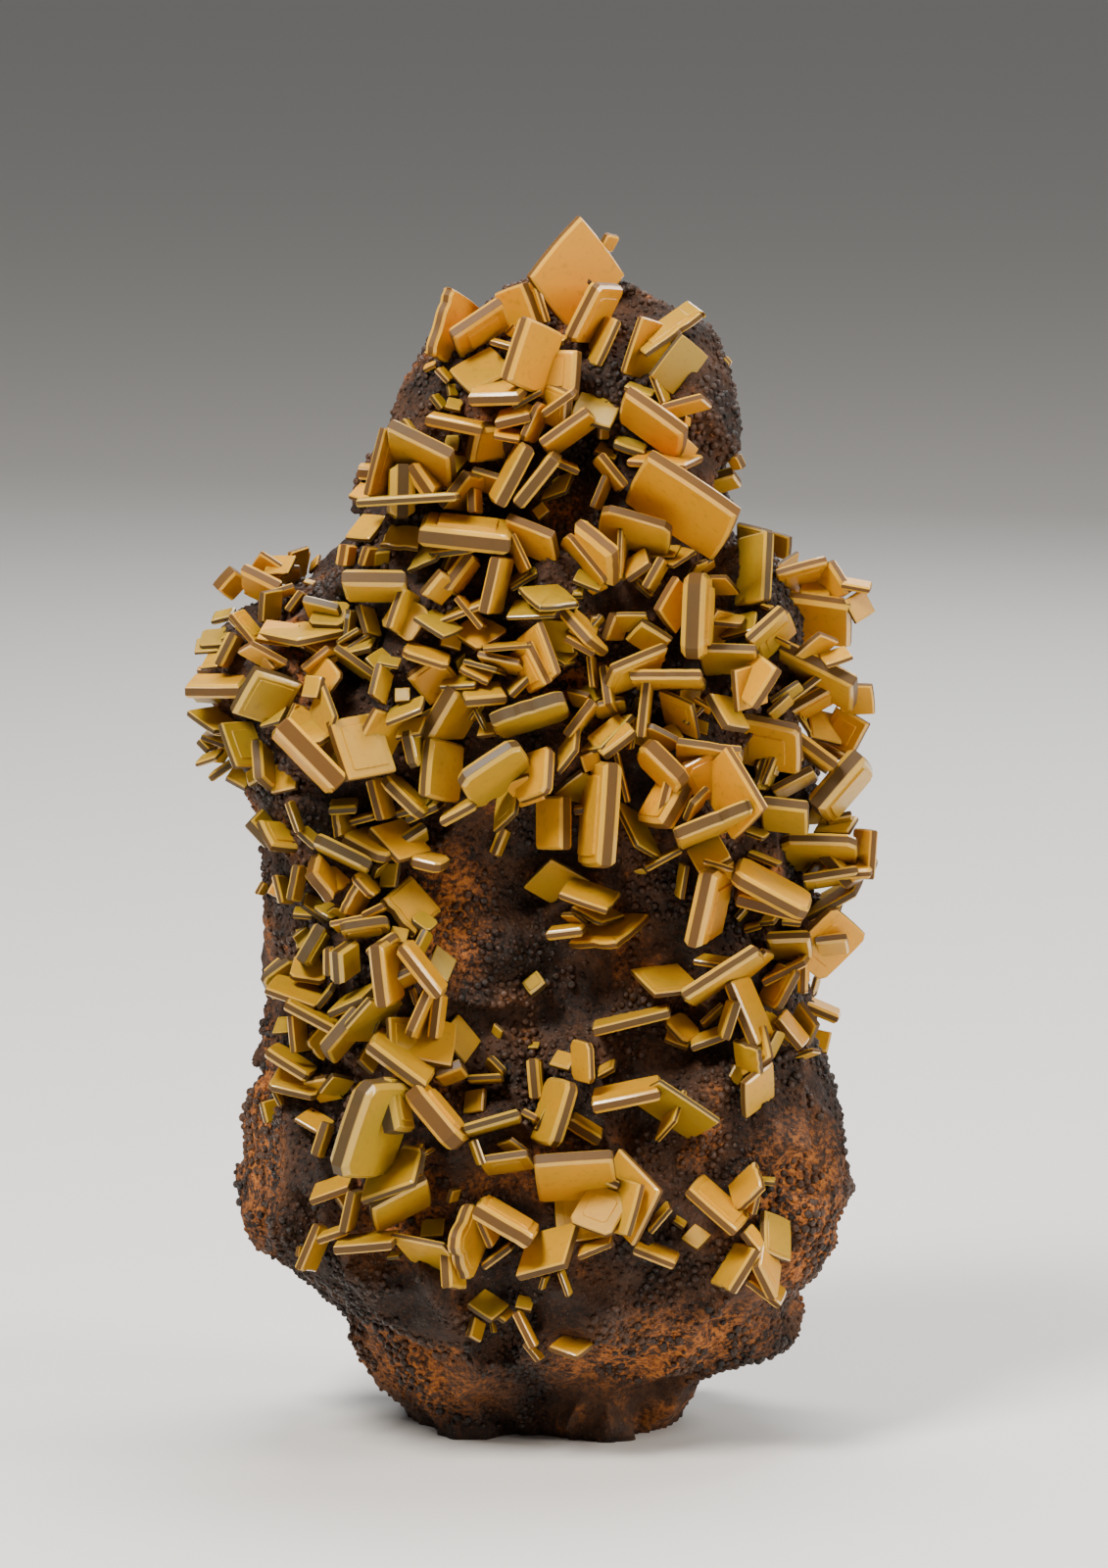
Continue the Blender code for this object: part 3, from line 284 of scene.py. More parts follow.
# %% Rows of plates, region by region
PLATES = {
    "crown": [
        (-2.6, 133, 3.2, 140.1, 2.5, 126.6, 1.3, 1, 0), (5.3, 136.3, 6.2, 138, 6.7, 136, 0.9, 0.95, 1),
        (-13.6, 124.2, -11.3, 131.8, -10.6, 122.5, 1.4, 0.9, 0),
        (-11.2, 126, -5.6, 129.8, -10.4, 123.9, 1.6, 0.9, 2),
        (-2, 127.6, -3.8, 132.4, -5.2, 126.6, 1.4, 0.95, 0),
        (-1, 127.9, -2.5, 132.6, -1.7, 127.9, 0.7, 0.9, 0),
        (-4.9, 121.3, -2.6, 128.4, -1, 119.8, 1.8, 0.85, 2),
        (-9.4, 120.2, -12, 123, -4.6, 122.9, 1.2, 0.6, 1), (-9.8, 120, -4.1, 120.1, -8.2, 122, 1.6, 0.75, 2),
        (-7.2, 126.1, -4.4, 125.3, -6.8, 126.5, 0.6, 0.7, 0),
        (-5.3, 126.6, -4.4, 127.6, -4.5, 126.1, 0.8, 0.85, 0),
        (-1.2, 126.2, 1.1, 126.1, -0.6, 126.9, 0.7, 0.7, 1),
        (2.2, 125.6, 5.4, 131.9, 5, 125.8, 1.6, 0.85, 2), (4.6, 123.2, 7, 128.4, 2.8, 124, 0.9, 0.6, 0),
        (2, 119.5, 2.4, 125, -3, 119.6, 2.2, 0.7, 1), (1, 115.7, 1.3, 120, -1.6, 117, 1.2, 0.65, 1),
        (-1.6, 117.9, 1.9, 120.4, -1.2, 118.6, 0.9, 0.75, 3),
        (-1.2, 113.8, 4.1, 117.6, -0.1, 112.8, 1.2, 0.8, 2),
        # This plate lies in shade: its low warmth, toward the darker khaki, partly paints that shade.
        (1.9, 117.6, 6.4, 116.2, 3.1, 120.5, 0.8, 0.35, 0),
        (8, 122.2, 10.1, 128.6, 11.8, 121.2, 0.8, 0.6, 1),
        (-14.4, 117.6, -8.1, 116.3, -13.9, 118.3, 1.3, 0.8, 1),
        (-6.8, 117, -2.9, 117.9, -6.4, 118.3, 1.3, 0.85, 1),
        (-6.8, 115.4, -3.9, 114.9, -6.6, 116.6, 0.7, 0.9, 1),
        (-4.8, 118.6, -1.6, 120.4, -5, 119.5, 0.6, 0.4, 0),
        (-3.4, 114.6, -1.5, 118.8, -2, 114.4, 0.8, 0.8, 2),
        (5.3, 114.8, 5.4, 116.3, 6.4, 114.9, 0.8, 0.6, 0), (4.6, 113.6, 6.9, 112.6, 5.4, 114.9, 0.7, 0.6, 0),
        (6.9, 114.6, 10.4, 113.4, 7.2, 115.7, 1, 0.1, 0),
        (-14.9, 122.9, -13.6, 123.5, -14.7, 123.4, 0.6, 0.7, 0),
        (-13.2, 123, -11.8, 121.5, -12.6, 123.4, 0.7, 0.6, 0),
        (-13.8, 120, -12.6, 118.4, -13, 120.3, 0.7, 0.5, 0),
        (-12.4, 118.6, -10.6, 118.2, -12, 119.8, 0.6, 0.5, 0),
        (-12, 121.2, -11.8, 119.8, -11, 121.2, 0.5, 0.2, 0),
    ],
    "crown_right": [
        (10.2, 124.5, 16.8, 129.2, 8.6, 126.2, 0.8, 0.5, 2),
        (11, 121.9, 14.6, 126.6, 14, 119.6, 0.6, 0.2, 0), (12.6, 119, 11.3, 122.3, 13.5, 119.5, 0.7, 0.6, 1),
        (7.8, 119.8, 14.4, 115, 7.2, 117, 1.7, 0.95, 3), (14, 113, 15.2, 115, 15.4, 111.8, 1.2, 0.7, 2),
        (12.2, 118, 16.8, 119.2, 13.4, 117.2, 0.9, 0.85, 1),
        (14.9, 116.5, 15, 117.6, 15.5, 116.3, 0.6, 0.7, 0),
        (8.3, 112.6, 14.8, 112, 10.4, 113.8, 0.9, 0.8, 2),
        (19.2, 124.1, 19.8, 123.4, 19, 123.6, 0.6, 0.5, 0),
        (19.5, 112.7, 20.6, 112.8, 20.2, 111.3, 1, 0.6, 0), (8, 120.9, 11, 119.8, 8.6, 121.6, 0.5, 0.3, 0),
    ],
    "neck_left": [
        (-20.9, 108.4, -19, 115.9, -17.6, 108, 0.9, 0.55, 1),
        (-19, 115.9, -12, 112.4, -18.8, 112.6, 1.7, 0.55, 2),
        (-16.9, 117.3, -15.2, 115, -16.6, 117.5, 1.3, 0.55, 1),
        (-15.6, 112.4, -13.3, 109, -14.6, 112.8, 1.9, 0.7, 3),
        (-18.5, 112, -18.6, 106, -19, 112, 2.9, 0.4, 4),
        (-22.4, 107.9, -11, 108.6, -21.8, 108.5, 0.9, 0.4, 2),
        (-22.3, 111.8, -20.8, 111.7, -22, 112.3, 1.6, 0.75, 0),
        (-23.4, 108.6, -21.4, 108, -22, 110.2, 0.8, 0.85, 1),
        (-23.8, 103.9, -21, 103.6, -21.8, 106.6, 0.8, 0.55, 1),
        (-19.8, 103, -15.4, 102.6, -18.6, 105.4, 0.7, 0.35, 1),
        (-23.6, 100.4, -23.2, 102.8, -22.6, 100.4, 1.4, 0.8, 0),
        (-21.6, 100.4, -20.9, 102.5, -20.4, 100.4, 1, 0.55, 1),
        (-20.4, 100.4, -20.3, 102, -18.6, 100.6, 0.9, 0.1, 0),
        (-12.4, 106.8, -9.4, 110.6, -10, 106.6, 1.4, 0.55, 3),
        (-9.4, 111.2, -6.1, 110.2, -9.2, 109.2, 0.9, 0.5, 2),
        (-8.8, 106.6, -8.9, 109.4, -8, 106.4, 1.1, 0.9, 4),
        (-15.1, 104.9, -5, 103.8, -14.6, 107, 2.3, 0.7, 4),
        (-5.6, 105.6, -0.4, 103.5, -5, 102.4, 1.3, 0.8, 3), (-4.9, 104, -3, 100, -5.8, 103.6, 0.6, 0.95, 3),
        (-9.4, 112, -8.6, 115.8, -5.4, 112.4, 2, 0.65, 1),
        (-6.8, 107.6, -3.4, 114, -7.6, 108.6, 1.5, 0.6, 4),
        (-4.8, 107.8, -0.6, 113, -4.4, 108.8, 1.6, 0.6, 3),
        (-1.8, 105.8, -0.6, 106.8, -2.6, 106.9, 0.8, 0.5, 1),
        (-1.5, 108.1, 1.2, 109, -0.6, 110.4, 0.6, 0.25, 0), (0.2, 112.6, 3, 111.4, 0, 113.2, 0.8, 0.6, 1),
        (-13.8, 111.4, -11.2, 111, -12.2, 113.4, 0.8, 0.15, 0),
        (-12.6, 113.6, -11, 113.6, -12.4, 115.4, 0.9, 0.05, 0),
        (-14.6, 102, -9.2, 102.6, -11.8, 103.8, 0.8, 0.35, 1),
        (-16.8, 100, -13.4, 101.4, -15, 103, 0.6, 0.2, 0),
        (-12.4, 100, -11.4, 102.2, -11, 99.6, 0.9, 0.6, 1),
        (-11.8, 97.4, -8.8, 101.4, -11, 96.8, 1.7, 0.8, 3), (-7.4, 95, -6, 101.2, -5.8, 95.2, 1.3, 0.75, 3),
        (-14.8, 97, -12.6, 99.6, -12.6, 95.8, 1.4, 0.55, 3),
        (-24, 98.2, -16.9, 98.1, -23.6, 96.4, 2, 0.45, 3), (-18.4, 93.4, -16.8, 98, -16.6, 92.4, 1, 0.65, 2),
        (-19.8, 94, -16.4, 91.8, -17.4, 97.6, 0.8, 0.55, 2),
        (-15.8, 94.8, -12.4, 92.6, -13.6, 95.8, 0.7, 0.35, 2),
        (-10.9, 97.2, -8, 93.6, -10.2, 97.3, 0.7, 0.85, 3), (-13, 94.4, -7.8, 96.4, -12, 95.6, 0.7, 0.5, 1),
        (-13.4, 94, -12, 93.8, -13.2, 94.4, 0.8, 0.4, 2), (-12, 93.2, -8.6, 91.2, -8.6, 95.4, 0.8, 0.75, 1),
        (-17, 91, -12, 89.4, -16.6, 92.2, 1, 0.75, 3), (-1.6, 96, 3, 96.4, -4, 98.2, 0.9, 0.4, 1),
        (-5.4, 94.8, 0, 95, -4.4, 96.8, 0.5, 0.2, 0), (-5, 98, -2, 99.8, -5.2, 99, 0.6, 0.3, 0),
        (-21, 93, -21.9, 96.2, -19.4, 92.6, 0.8, 0.4, 2), (-23.4, 92.4, -23, 95.6, -22.6, 92.2, 0.7, 0.3, 1),
        (-20.34, 85.89, -19.5, 89.44, -18.94, 84.67, 0.9, 0.55, 2),
        (-21.39, 90.11, -19.5, 88.22, -19.5, 91.38, 0.6, 0.2, 1),
        (-20.05, 89.67, -17.61, 89.22, -19.72, 90.56, 0.5, 0.1, 2),
        (-19.16, 82.89, -15.2, 84.46, -18.83, 84.4, 0.8, 0.4, 2),
        (-18.05, 85.22, -16.39, 85.33, -18.05, 86.71, 0.6, 0.35, 2),
        (-18.05, 81.22, -15.28, 81.67, -17.28, 83.16, 0.8, 0.4, 1),
        (-15.32, 77.78, -16.21, 81.82, -13.9, 78.4, 1.5, 0.5, 3),
        (-12.01, 86.62, -9.94, 86.56, -11.54, 88.4, 0.6, 0.4, 1),
        (-24.12, 90.61, -20.84, 91.37, -23.36, 92.02, 0.8, 0.3, 2),
    ],
    "neck_right": [
        (10.4, 112.5, 20.4, 105.8, 7.9, 107.8, 1.7, 1, 3), (5.4, 106.6, 13.1, 104.4, 5, 103.4, 1.2, 0.6, 2),
        (2, 105, 6.2, 101.4, 2.2, 101.4, 2, 0.9, 3), (1.4, 103.8, 5.6, 98.6, 0.6, 103, 0.8, 0.85, 2),
        (8, 99.2, 10.6, 101, 7.6, 101, 1.1, 0.65, 2), (10.8, 101.6, 13.6, 101.6, 11.6, 103, 0.7, 0.6, 1),
        (7.6, 99, 7.8, 104.6, 8.4, 99, 0.6, 0.5, 1), (4.6, 107, 6.1, 110.6, 5.4, 106.8, 0.7, 0.6, 1),
        (4.9, 112.8, 7.8, 109.2, 4.2, 112.4, 1, 0.8, 3), (3.8, 97.6, 5.6, 98.4, 4.4, 97.2, 0.6, 0.7, 1),
        (2.2, 99, 5.2, 97.8, 3, 100.6, 0.6, 0.3, 0), (2, 97.4, 3.2, 97.4, 2.2, 98.2, 0.9, 0.35, 1),
        (17, 109.6, 20.4, 110.6, 18, 108.4, 1.4, 0.6, 1),
        (20.6, 105.2, 24.4, 104.2, 20.8, 101.6, 0.9, 0.45, 1),
        (24.4, 104.4, 26.6, 103.7, 24.2, 101.8, 0.9, 0.5, 1),
        (23.4, 96.6, 23.8, 104.4, 20.4, 96, 1.3, 0.4, 3), (25.4, 100.4, 27.9, 102, 25, 97.8, 0.6, 0.55, 0),
        (24.8, 105, 25.3, 106, 25.2, 104.8, 0.6, 0.7, 1), (16.6, 99, 19.4, 99, 18.2, 97.2, 0.6, 0.65, 1),
        (16.8, 100.2, 18.2, 101.2, 17, 99.4, 0.5, 0.6, 0),
        (15.4, 99.2, 16.2, 100.4, 16.8, 99.8, 0.6, 0.6, 2), (10.7, 97.8, 12.6, 101.2, 11.4, 97.4, 1, 0.6, 3),
        (12, 95.4, 14.2, 99.2, 14, 92.8, 1.2, 0.8, 3), (16.8, 90, 17.2, 99.4, 17.8, 90.2, 2.6, 0.55, 4),
        (9.4, 98.6, 11.2, 97, 9.8, 99.6, 0.6, 0.65, 1), (6, 92, 7, 94.8, 8, 92, 1.2, 0.6, 2),
        (7, 94.8, 10.4, 94.8, 7.6, 93, 0.6, 0.4, 2), (9.8, 93.9, 13.2, 91.8, 8, 92, 1.2, 0.55, 3),
        (1.4, 95.8, 4.4, 92.4, 3.4, 94.4, 1.3, 0.75, 2), (4.4, 94.6, 5.6, 94.8, 4, 93.4, 0.5, 0.5, 1),
        (17.4, 94.4, 21.2, 94, 18, 95.4, 0.7, 0.55, 2), (18.8, 92.4, 22.6, 93.4, 19.2, 94.6, 0.6, 0.3, 0),
        (22.4, 91.6, 26.4, 95.2, 22.8, 90.6, 1.4, 0.55, 3), (23.4, 96.2, 24.4, 95.8, 24, 96.4, 0.4, 0.6, 1),
        (16.2, 91.4, 18.6, 95.4, 18.8, 90.8, 0.7, 0.55, 1), (25, 92.2, 26.6, 91.4, 25.2, 91.8, 0.5, 0.6, 3),
        (26.8, 91.8, 29, 89.4, 27.6, 93.4, 0.7, 0.55, 2),
    ],
    "left_lobe": [
        (-38, 97.6, -36, 99.8, -36.4, 96.4, 1.8, 0.75, 2),
        (-35.8, 99.8, -31.4, 97.6, -35.6, 97.4, 1.6, 0.8, 3),
        (-34.6, 100.2, -33.4, 101.8, -31.6, 98.2, 0.8, 0.75, 1),
        (-33.2, 101.4, -29.4, 101.2, -33, 99.8, 0.8, 0.7, 0),
        (-30, 98.6, -29.2, 102, -28.2, 98.8, 1.1, 0.6, 2),
        (-28.2, 99.8, -27.2, 100.8, -28, 101, 0.5, 0.7, 0),
        (-28.4, 98.8, -27, 98.4, -28.2, 99.2, 0.4, 0.6, 0),
        (-33, 94.2, -32.8, 97.2, -31.2, 93.8, 0.8, 0.55, 2),
        (-31.8, 97.2, -29.4, 98, -31.6, 96.6, 0.7, 0.55, 2),
        (-30, 95.2, -28.4, 97.4, -29.4, 95, 0.8, 0.6, 2), (-33.6, 93.2, -29, 92.2, -28.4, 94.4, 1, 0.5, 2),
        (-28.6, 96.4, -24.6, 95.4, -28, 94.6, 1, 0.4, 1), (-29, 92, -26.2, 90.4, -25.2, 93.2, 0.8, 0.75, 1),
        (-36.4, 95.2, -33.8, 92, -35.2, 95.8, 0.8, 0.85, 2),
        (-39, 94.4, -36.6, 95, -38.6, 95.4, 0.8, 0.1, 0), (-36, 90.6, -34.4, 91.4, -32, 88.4, 0.8, 0.75, 1),
        (-34, 91.4, -31.8, 88.8, -34.6, 90.6, 0.7, 0.8, 1),
        (-37.6, 89, -35.8, 92.6, -36.8, 88.8, 1.3, 0.55, 3),
        (-39.6, 91.4, -36.8, 92.8, -38.6, 93.2, 0.6, 0.1, 0),
        (-40.8, 90.8, -38, 91, -40.6, 92.4, 0.6, 0.3, 1),
        (-41.6, 89.4, -40.4, 89.4, -41.4, 89.8, 0.7, 0.7, 1),
        (-40.2, 89, -38.2, 89.2, -39.4, 90.6, 0.6, 0.5, 1), (-41.8, 87, -35.6, 87, -41, 88.4, 1.6, 0.6, 3),
        (-41.4, 86.4, -36.8, 86.2, -40.8, 85, 0.8, 0.35, 2),
        (-41.6, 84.2, -38.4, 82, -38, 84.8, 0.8, 0.35, 1), (-36.4, 83.6, -33.6, 88.4, -31.2, 82, 2, 0.4, 4),
        (-37.6, 82.8, -35.8, 77.8, -34.2, 83, 0.9, 0.35, 4), (-37.2, 76.6, -35, 75.4, -36, 78.4, 1, 0.4, 3),
        (-34.8, 75.6, -33.2, 76.6, -35.2, 77.2, 1, 0.35, 2), (-40.6, 81, -37.8, 80, -40, 81.8, 0.7, 0.3, 1),
        (-41.6, 80, -40.4, 78.8, -40.8, 80.4, 0.9, 0.05, 1),
        (-40.8, 78.2, -38.4, 79, -40, 79.2, 0.7, 0.4, 1),
        (-40, 76.6, -37.4, 78.4, -39.6, 77.2, 0.9, 0.45, 2),
        (-38.8, 78.2, -37.4, 80.6, -37.4, 78, 0.8, 0.4, 2),
        (-40.4, 83.6, -38, 81.8, -38.2, 83.6, 0.7, 0.35, 1),
        (-30.2, 82.6, -29.2, 84.8, -28.8, 82.2, 0.6, 0.6, 1),
        (-28.8, 85.8, -27, 85.6, -28.2, 88.2, 0.9, 0.45, 3),
        (-26.6, 85, -24.2, 88.2, -28.8, 87.6, 1, 0.7, 2), (-28.4, 88.6, -25.4, 91, -27, 87.8, 0.8, 0.75, 1),
        (-25, 91, -20.6, 87.8, -25.2, 90.2, 0.9, 0.5, 3), (-24.6, 91.6, -22, 93.2, -24, 91.2, 0.5, 0.2, 1),
        (-23.2, 91, -20.8, 92.6, -23, 90.4, 0.5, 0.3, 1),
        (-21.8, 89.4, -20.4, 91.2, -21.6, 91.6, 0.5, 0.1, 1),
        (-30.2, 83, -27.8, 81.6, -29.2, 85, 0.6, 0.55, 1),
        (-30.8, 81.4, -26.8, 80.6, -28, 83.4, 0.9, 0.5, 2), (-30.6, 82, -30.2, 83, -29.6, 81.8, 0.6, 0.6, 2),
        (-26.6, 79.4, -25, 83.4, -28.2, 83.4, 0.8, 0.4, 1),
        (-26.4, 76.4, -24, 77.6, -25.4, 79.8, 0.8, 0.4, 1),
        (-31.6, 81.8, -25, 75, -32.4, 81.2, 2.4, 0.85, 5),
        (-32.8, 76.6, -33.2, 81, -31.4, 75.2, 1.4, 0.5, 4), (-32.2, 74.8, -29.4, 75.4, -32, 78, 0.8, 0.5, 3),
        (-23, 76.4, -25.2, 83, -17.8, 77.4, 1.3, 0.55, 4), (-22.6, 79, -20, 84.2, -19, 77.6, 1, 0.6, 0),
        (-28.4, 79, -26, 78.4, -28, 79.6, 0.5, 0.6, 2), (-33.4, 82.4, -31.2, 83, -32.4, 84.4, 0.5, 0.3, 2),
        (-33.11, 99.7, -30.18, 99.7, -32.2, 101.82, 0.7, 0.7, 2),
        (-30.03, 98.69, -29.68, 101.97, -28.01, 99.45, 0.7, 0.6, 2),
        (-32.96, 94.14, -32.71, 97.43, -30.94, 94.55, 0.9, 0.6, 3),
        (-33.72, 92.38, -29.83, 91.82, -32.71, 94.55, 0.7, 0.7, 2),
        (-29.17, 91.62, -26.39, 90.36, -27.91, 93.89, 0.7, 0.6, 2),
        (-27.91, 94.14, -24.12, 93.89, -26.9, 96.77, 0.9, 0.45, 2),
        (-36.49, 94.9, -34.07, 92.53, -35.48, 95.66, 0.9, 0.8, 3),
        (-40.28, 91.52, -37.25, 91.72, -39.93, 93.39, 0.7, 0.2, 1),
        (-27.91, 80.25, -25.13, 78.74, -27.15, 83.29, 0.7, 0.4, 1),
        (-26.14, 75.46, -23.97, 76.47, -25.89, 78.23, 0.7, 0.3, 1),
    ],
    "middle": [
        (-16.6, 87.6, -12.9, 90.2, -14, 84.6, 1.5, 0.75, 3),
        (-14.2, 80.4, -10.9, 86, -10.2, 80.6, 2.2, 0.6, 2), (-10, 85.6, -5.4, 86, -10.8, 87.2, 1.3, 0.6, 3),
        (-5.2, 86, -2.6, 88.6, -5.6, 86.6, 0.9, 0.65, 2), (-8.8, 90.2, -4, 89.2, -7.6, 88.8, 0.8, 0.6, 2),
        (-8, 91.2, -2.6, 91.6, -8, 91.8, 0.5, 0.65, 4), (-3.4, 91.6, -1.1, 87, -5.2, 90.6, 1.2, 0.85, 4),
        (-2, 94, 0.1, 88.2, -4.6, 92, 1, 0.8, 2), (-10.6, 89, -7.4, 87.4, -9.8, 90.2, 0.7, 0.6, 2),
        (-13, 87, -9, 87.2, -12.2, 88.4, 0.7, 0.5, 2), (-7, 82.4, 1.2, 85, -6.2, 80.6, 1.7, 0.45, 4),
        (-10.4, 75.6, -3.8, 80, -8.6, 72.6, 1.8, 0.45, 4),
        (-14.2, 74.4, -13.6, 81, -10.6, 73.6, 1.6, 0.5, 4), (-0.9, 80.2, -1.2, 75, -4.2, 79, 1.4, 0.7, 2),
        (-1, 74, -3, 76.6, -3.8, 73, 1, 0.75, 4), (-13.2, 71.8, -9.2, 74, -12.8, 72.6, 1.2, 0.4, 4),
        (-17, 72, -13.4, 73.6, -16, 73, 0.9, 0.3, 3), (1.8, 81, 4.8, 85, 2.4, 80.6, 1.1, 0.5, 4),
        (1.4, 86.2, 3.8, 85.6, 2, 84.6, 0.8, 0.55, 1), (4.6, 84.4, 8, 85.2, 5, 83, 0.8, 0.6, 2),
        (2.8, 79.6, 5.2, 80, 6.4, 83.4, 0.8, 0.3, 1), (5.4, 79.2, 9, 82, 3.6, 81.2, 1.3, 0.65, 4),
        (3, 78.8, 3.6, 77, 5, 79.6, 1.1, 0.75, 3), (0.2, 77.2, 2.2, 79.8, 0.4, 79.8, 0.8, 0.4, 1),
        (0, 74.4, 3.2, 77, 3.4, 73.4, 0.8, 0.35, 2), (0.7, 68.4, 0.7, 74.4, -2.2, 68.4, 1.6, 0.75, 4),
        (4.8, 66.6, 5.6, 78.2, 2.6, 66.6, 2.2, 0.75, 5), (2.2, 73, 3.8, 73.2, 2.2, 73.4, 0.8, 0.6, 3),
        (7.2, 79.6, 8.6, 73.8, 7.4, 79.8, 0.6, 0.7, 3), (8.6, 79.8, 9, 83.4, 8, 79.8, 0.5, 0.6, 2),
        (7.2, 74, 9.6, 69, 10, 72.4, 0.7, 0.3, 1), (6, 89.4, 6.6, 85, 6.8, 88.2, 1, 0.55, 2),
        (6.8, 88.4, 13, 91, 5.6, 85.2, 1.2, 0.55, 4), (4.2, 90.4, 4.6, 86.8, 4.8, 90.2, 0.6, 0.6, 3),
        (1.4, 92.6, 4.6, 90.8, 2, 93.2, 0.8, 0.7, 3), (1.8, 93.2, 4.4, 91, 2.6, 95.8, 0.9, 0.7, 1),
        (-2, 94.4, 1.6, 94, -1.4, 91, 0.7, 0.3, 0), (-1, 91, 1.6, 89.6, 0.2, 92.2, 0.6, 0.4, 0),
        (-7, 70.4, -4.6, 72.6, -6.6, 74.2, 0.7, 0.35, 1), (-6.4, 67.6, -5.2, 70.6, -6, 67.4, 1.1, 0.5, 3),
        (-15, 83, -12.4, 84.2, -13.6, 82.4, 1, 0.5, 1), (-9.4, 83, -8.2, 84.8, -9, 82.8, 0.5, 0.45, 1),
        (-8.8, 84.4, -7.6, 82, -8.6, 84.6, 0.5, 0.45, 1), (-8.8, 81.4, -6.8, 81.6, -8.4, 82.8, 0.7, 0.55, 1),
        (-10.4, 89.4, -6.6, 88.4, -9.2, 89, 0.6, 0.4, 1), (-12.8, 91.6, -10.6, 91, -12.4, 93.8, 1, 0.7, 2),
        (-11, 89.6, -10, 90.6, -10.8, 88.6, 0.6, 0.2, 1),
        (9.27, 99.34, 11.05, 97.89, 10.5, 100.1, 0.5, 0.5, 1),
        (11.05, 101.34, 13.39, 100.67, 13.72, 103.07, 0.7, 0.6, 1),
        (2.05, 86.05, 4.39, 85.11, 3.94, 87.29, 0.6, 0.35, 0),
        (-1.17, 91.22, 1.28, 89.34, 0.05, 91.56, 0.5, 0.4, 1),
        (4.45, 93.56, 5.5, 94.78, 4.83, 93.22, 0.6, 0.3, 1),
        (8.83, 83.45, 9.72, 85.56, 10.16, 84.67, 0.5, 0.3, 1),
        (-5.17, 98.23, -2.95, 99.67, -4.95, 99.34, 0.5, 0.3, 0),
    ],
    "right_shoulder": [
        (25.2, 99.2, 31, 100.8, 25.6, 97, 1.1, 0.75, 2), (31, 100.8, 33.2, 97.2, 29, 99.8, 1.3, 0.75, 2),
        (26.2, 96.6, 33.4, 95.6, 26.4, 92, 1.8, 0.65, 4), (32.6, 98.6, 35.8, 98, 33, 99.4, 0.8, 0.75, 2),
        (33, 96.6, 35.2, 98, 34.4, 94, 0.8, 0.7, 1), (14.2, 83, 14.4, 86.4, 16.6, 83.4, 0.7, 0.6, 0),
        (16.4, 90.8, 22.8, 90.6, 17, 88, 1.2, 0.6, 3), (23, 91.6, 26.8, 95, 24, 89.6, 1.2, 0.55, 2),
        (25.2, 90.8, 33.6, 86.6, 25.4, 88, 1.8, 0.65, 5), (27.4, 90.2, 30.2, 92.6, 29.6, 89.4, 0.8, 0.7, 3),
        (30.8, 89.4, 33.8, 90.4, 30, 90.6, 0.7, 0.6, 4), (33.4, 89.8, 35.2, 87.4, 32.6, 88.6, 0.8, 0.65, 3),
        (25.6, 84, 30.8, 88, 26.2, 84.2, 0.9, 0.55, 5), (27, 83.8, 32, 86.6, 27.4, 82.4, 1.3, 0.6, 4),
        (32.2, 86.8, 36, 86.8, 32.6, 83.6, 0.9, 0.6, 3), (32, 84.8, 35.6, 82.6, 30, 81, 1.3, 0.75, 3),
        (33.6, 79.6, 35, 82.2, 29.4, 81.6, 1.2, 0.75, 2), (20.6, 88.6, 24, 89.6, 21, 84, 1, 0.75, 3),
        (22.2, 84.6, 25, 89, 19.8, 86.6, 1.4, 0.75, 4), (17.8, 86.2, 19.8, 82.6, 20.4, 85.8, 1.2, 0.6, 3),
        (20.6, 83, 27.6, 81.6, 20.8, 78, 1.6, 0.6, 4), (26.6, 80.8, 31.4, 77.2, 26.4, 80.2, 1.6, 0.75, 4),
        (25.6, 80.4, 27.8, 80.6, 26, 78.2, 0.8, 0.6, 2), (13.8, 80.2, 21.2, 79.2, 14, 77.4, 1, 0.55, 2),
        (14.8, 80, 10.6, 82.2, 11.8, 79, 0.8, 0.5, 1), (14.2, 77.4, 19, 79.8, 16.4, 73.4, 1.2, 0.9, 3),
        (19.2, 79.8, 23.4, 72.8, 16, 76.4, 1.2, 0.9, 4), (10.3, 81, 11, 87.4, 10.8, 81, 1.1, 0.7, 4),
        (8.4, 87.6, 16.6, 87.6, 9.2, 86.4, 1.2, 0.6, 4), (9, 88.8, 12.2, 90.6, 9.6, 88, 0.9, 0.45, 3),
        (11.8, 86.2, 15.4, 84.6, 12.6, 82.4, 0.8, 0.55, 1),
        (15.8, 85.4, 17.8, 84.2, 15.6, 84.8, 0.5, 0.6, 2), (15.8, 82, 17.4, 81.4, 16, 83.4, 0.5, 0.45, 0),
        (14.8, 82.6, 16.6, 84.2, 15, 82.4, 0.5, 0.15, 1), (11.8, 71.6, 14.4, 76.2, 9, 72, 2.4, 0.95, 4),
        (9.6, 80.2, 14.2, 75.6, 9, 78.4, 2, 0.95, 5), (13.6, 76.4, 15.4, 77, 12.4, 71.6, 1.2, 0.85, 3),
        (24.8, 74.8, 29.4, 77.2, 25.6, 73.8, 0.9, 0.5, 3), (23, 78.2, 25.2, 79.6, 23.4, 75.4, 0.7, 0.5, 1),
        (24, 75.6, 25.6, 79.6, 24.6, 75.2, 0.8, 0.35, 2), (25, 76.8, 25.6, 78.6, 25.4, 76.6, 0.5, 0.3, 3),
        (30.2, 72.6, 35.4, 78.6, 31.6, 71, 2.5, 0.45, 5), (34.6, 77, 35.6, 78.2, 34.6, 76.6, 0.6, 0.5, 3),
        (23.4, 73.2, 28.6, 72.6, 23.6, 70.4, 1.7, 0.45, 4), (27.6, 84, 29.2, 81.6, 27.8, 84.2, 0.5, 0.6, 4),
        (28.2, 83.6, 29.2, 81.2, 28.6, 83.4, 0.4, 0.55, 4), (31, 71.6, 33.8, 72.2, 31.2, 70, 0.9, 0.45, 2),
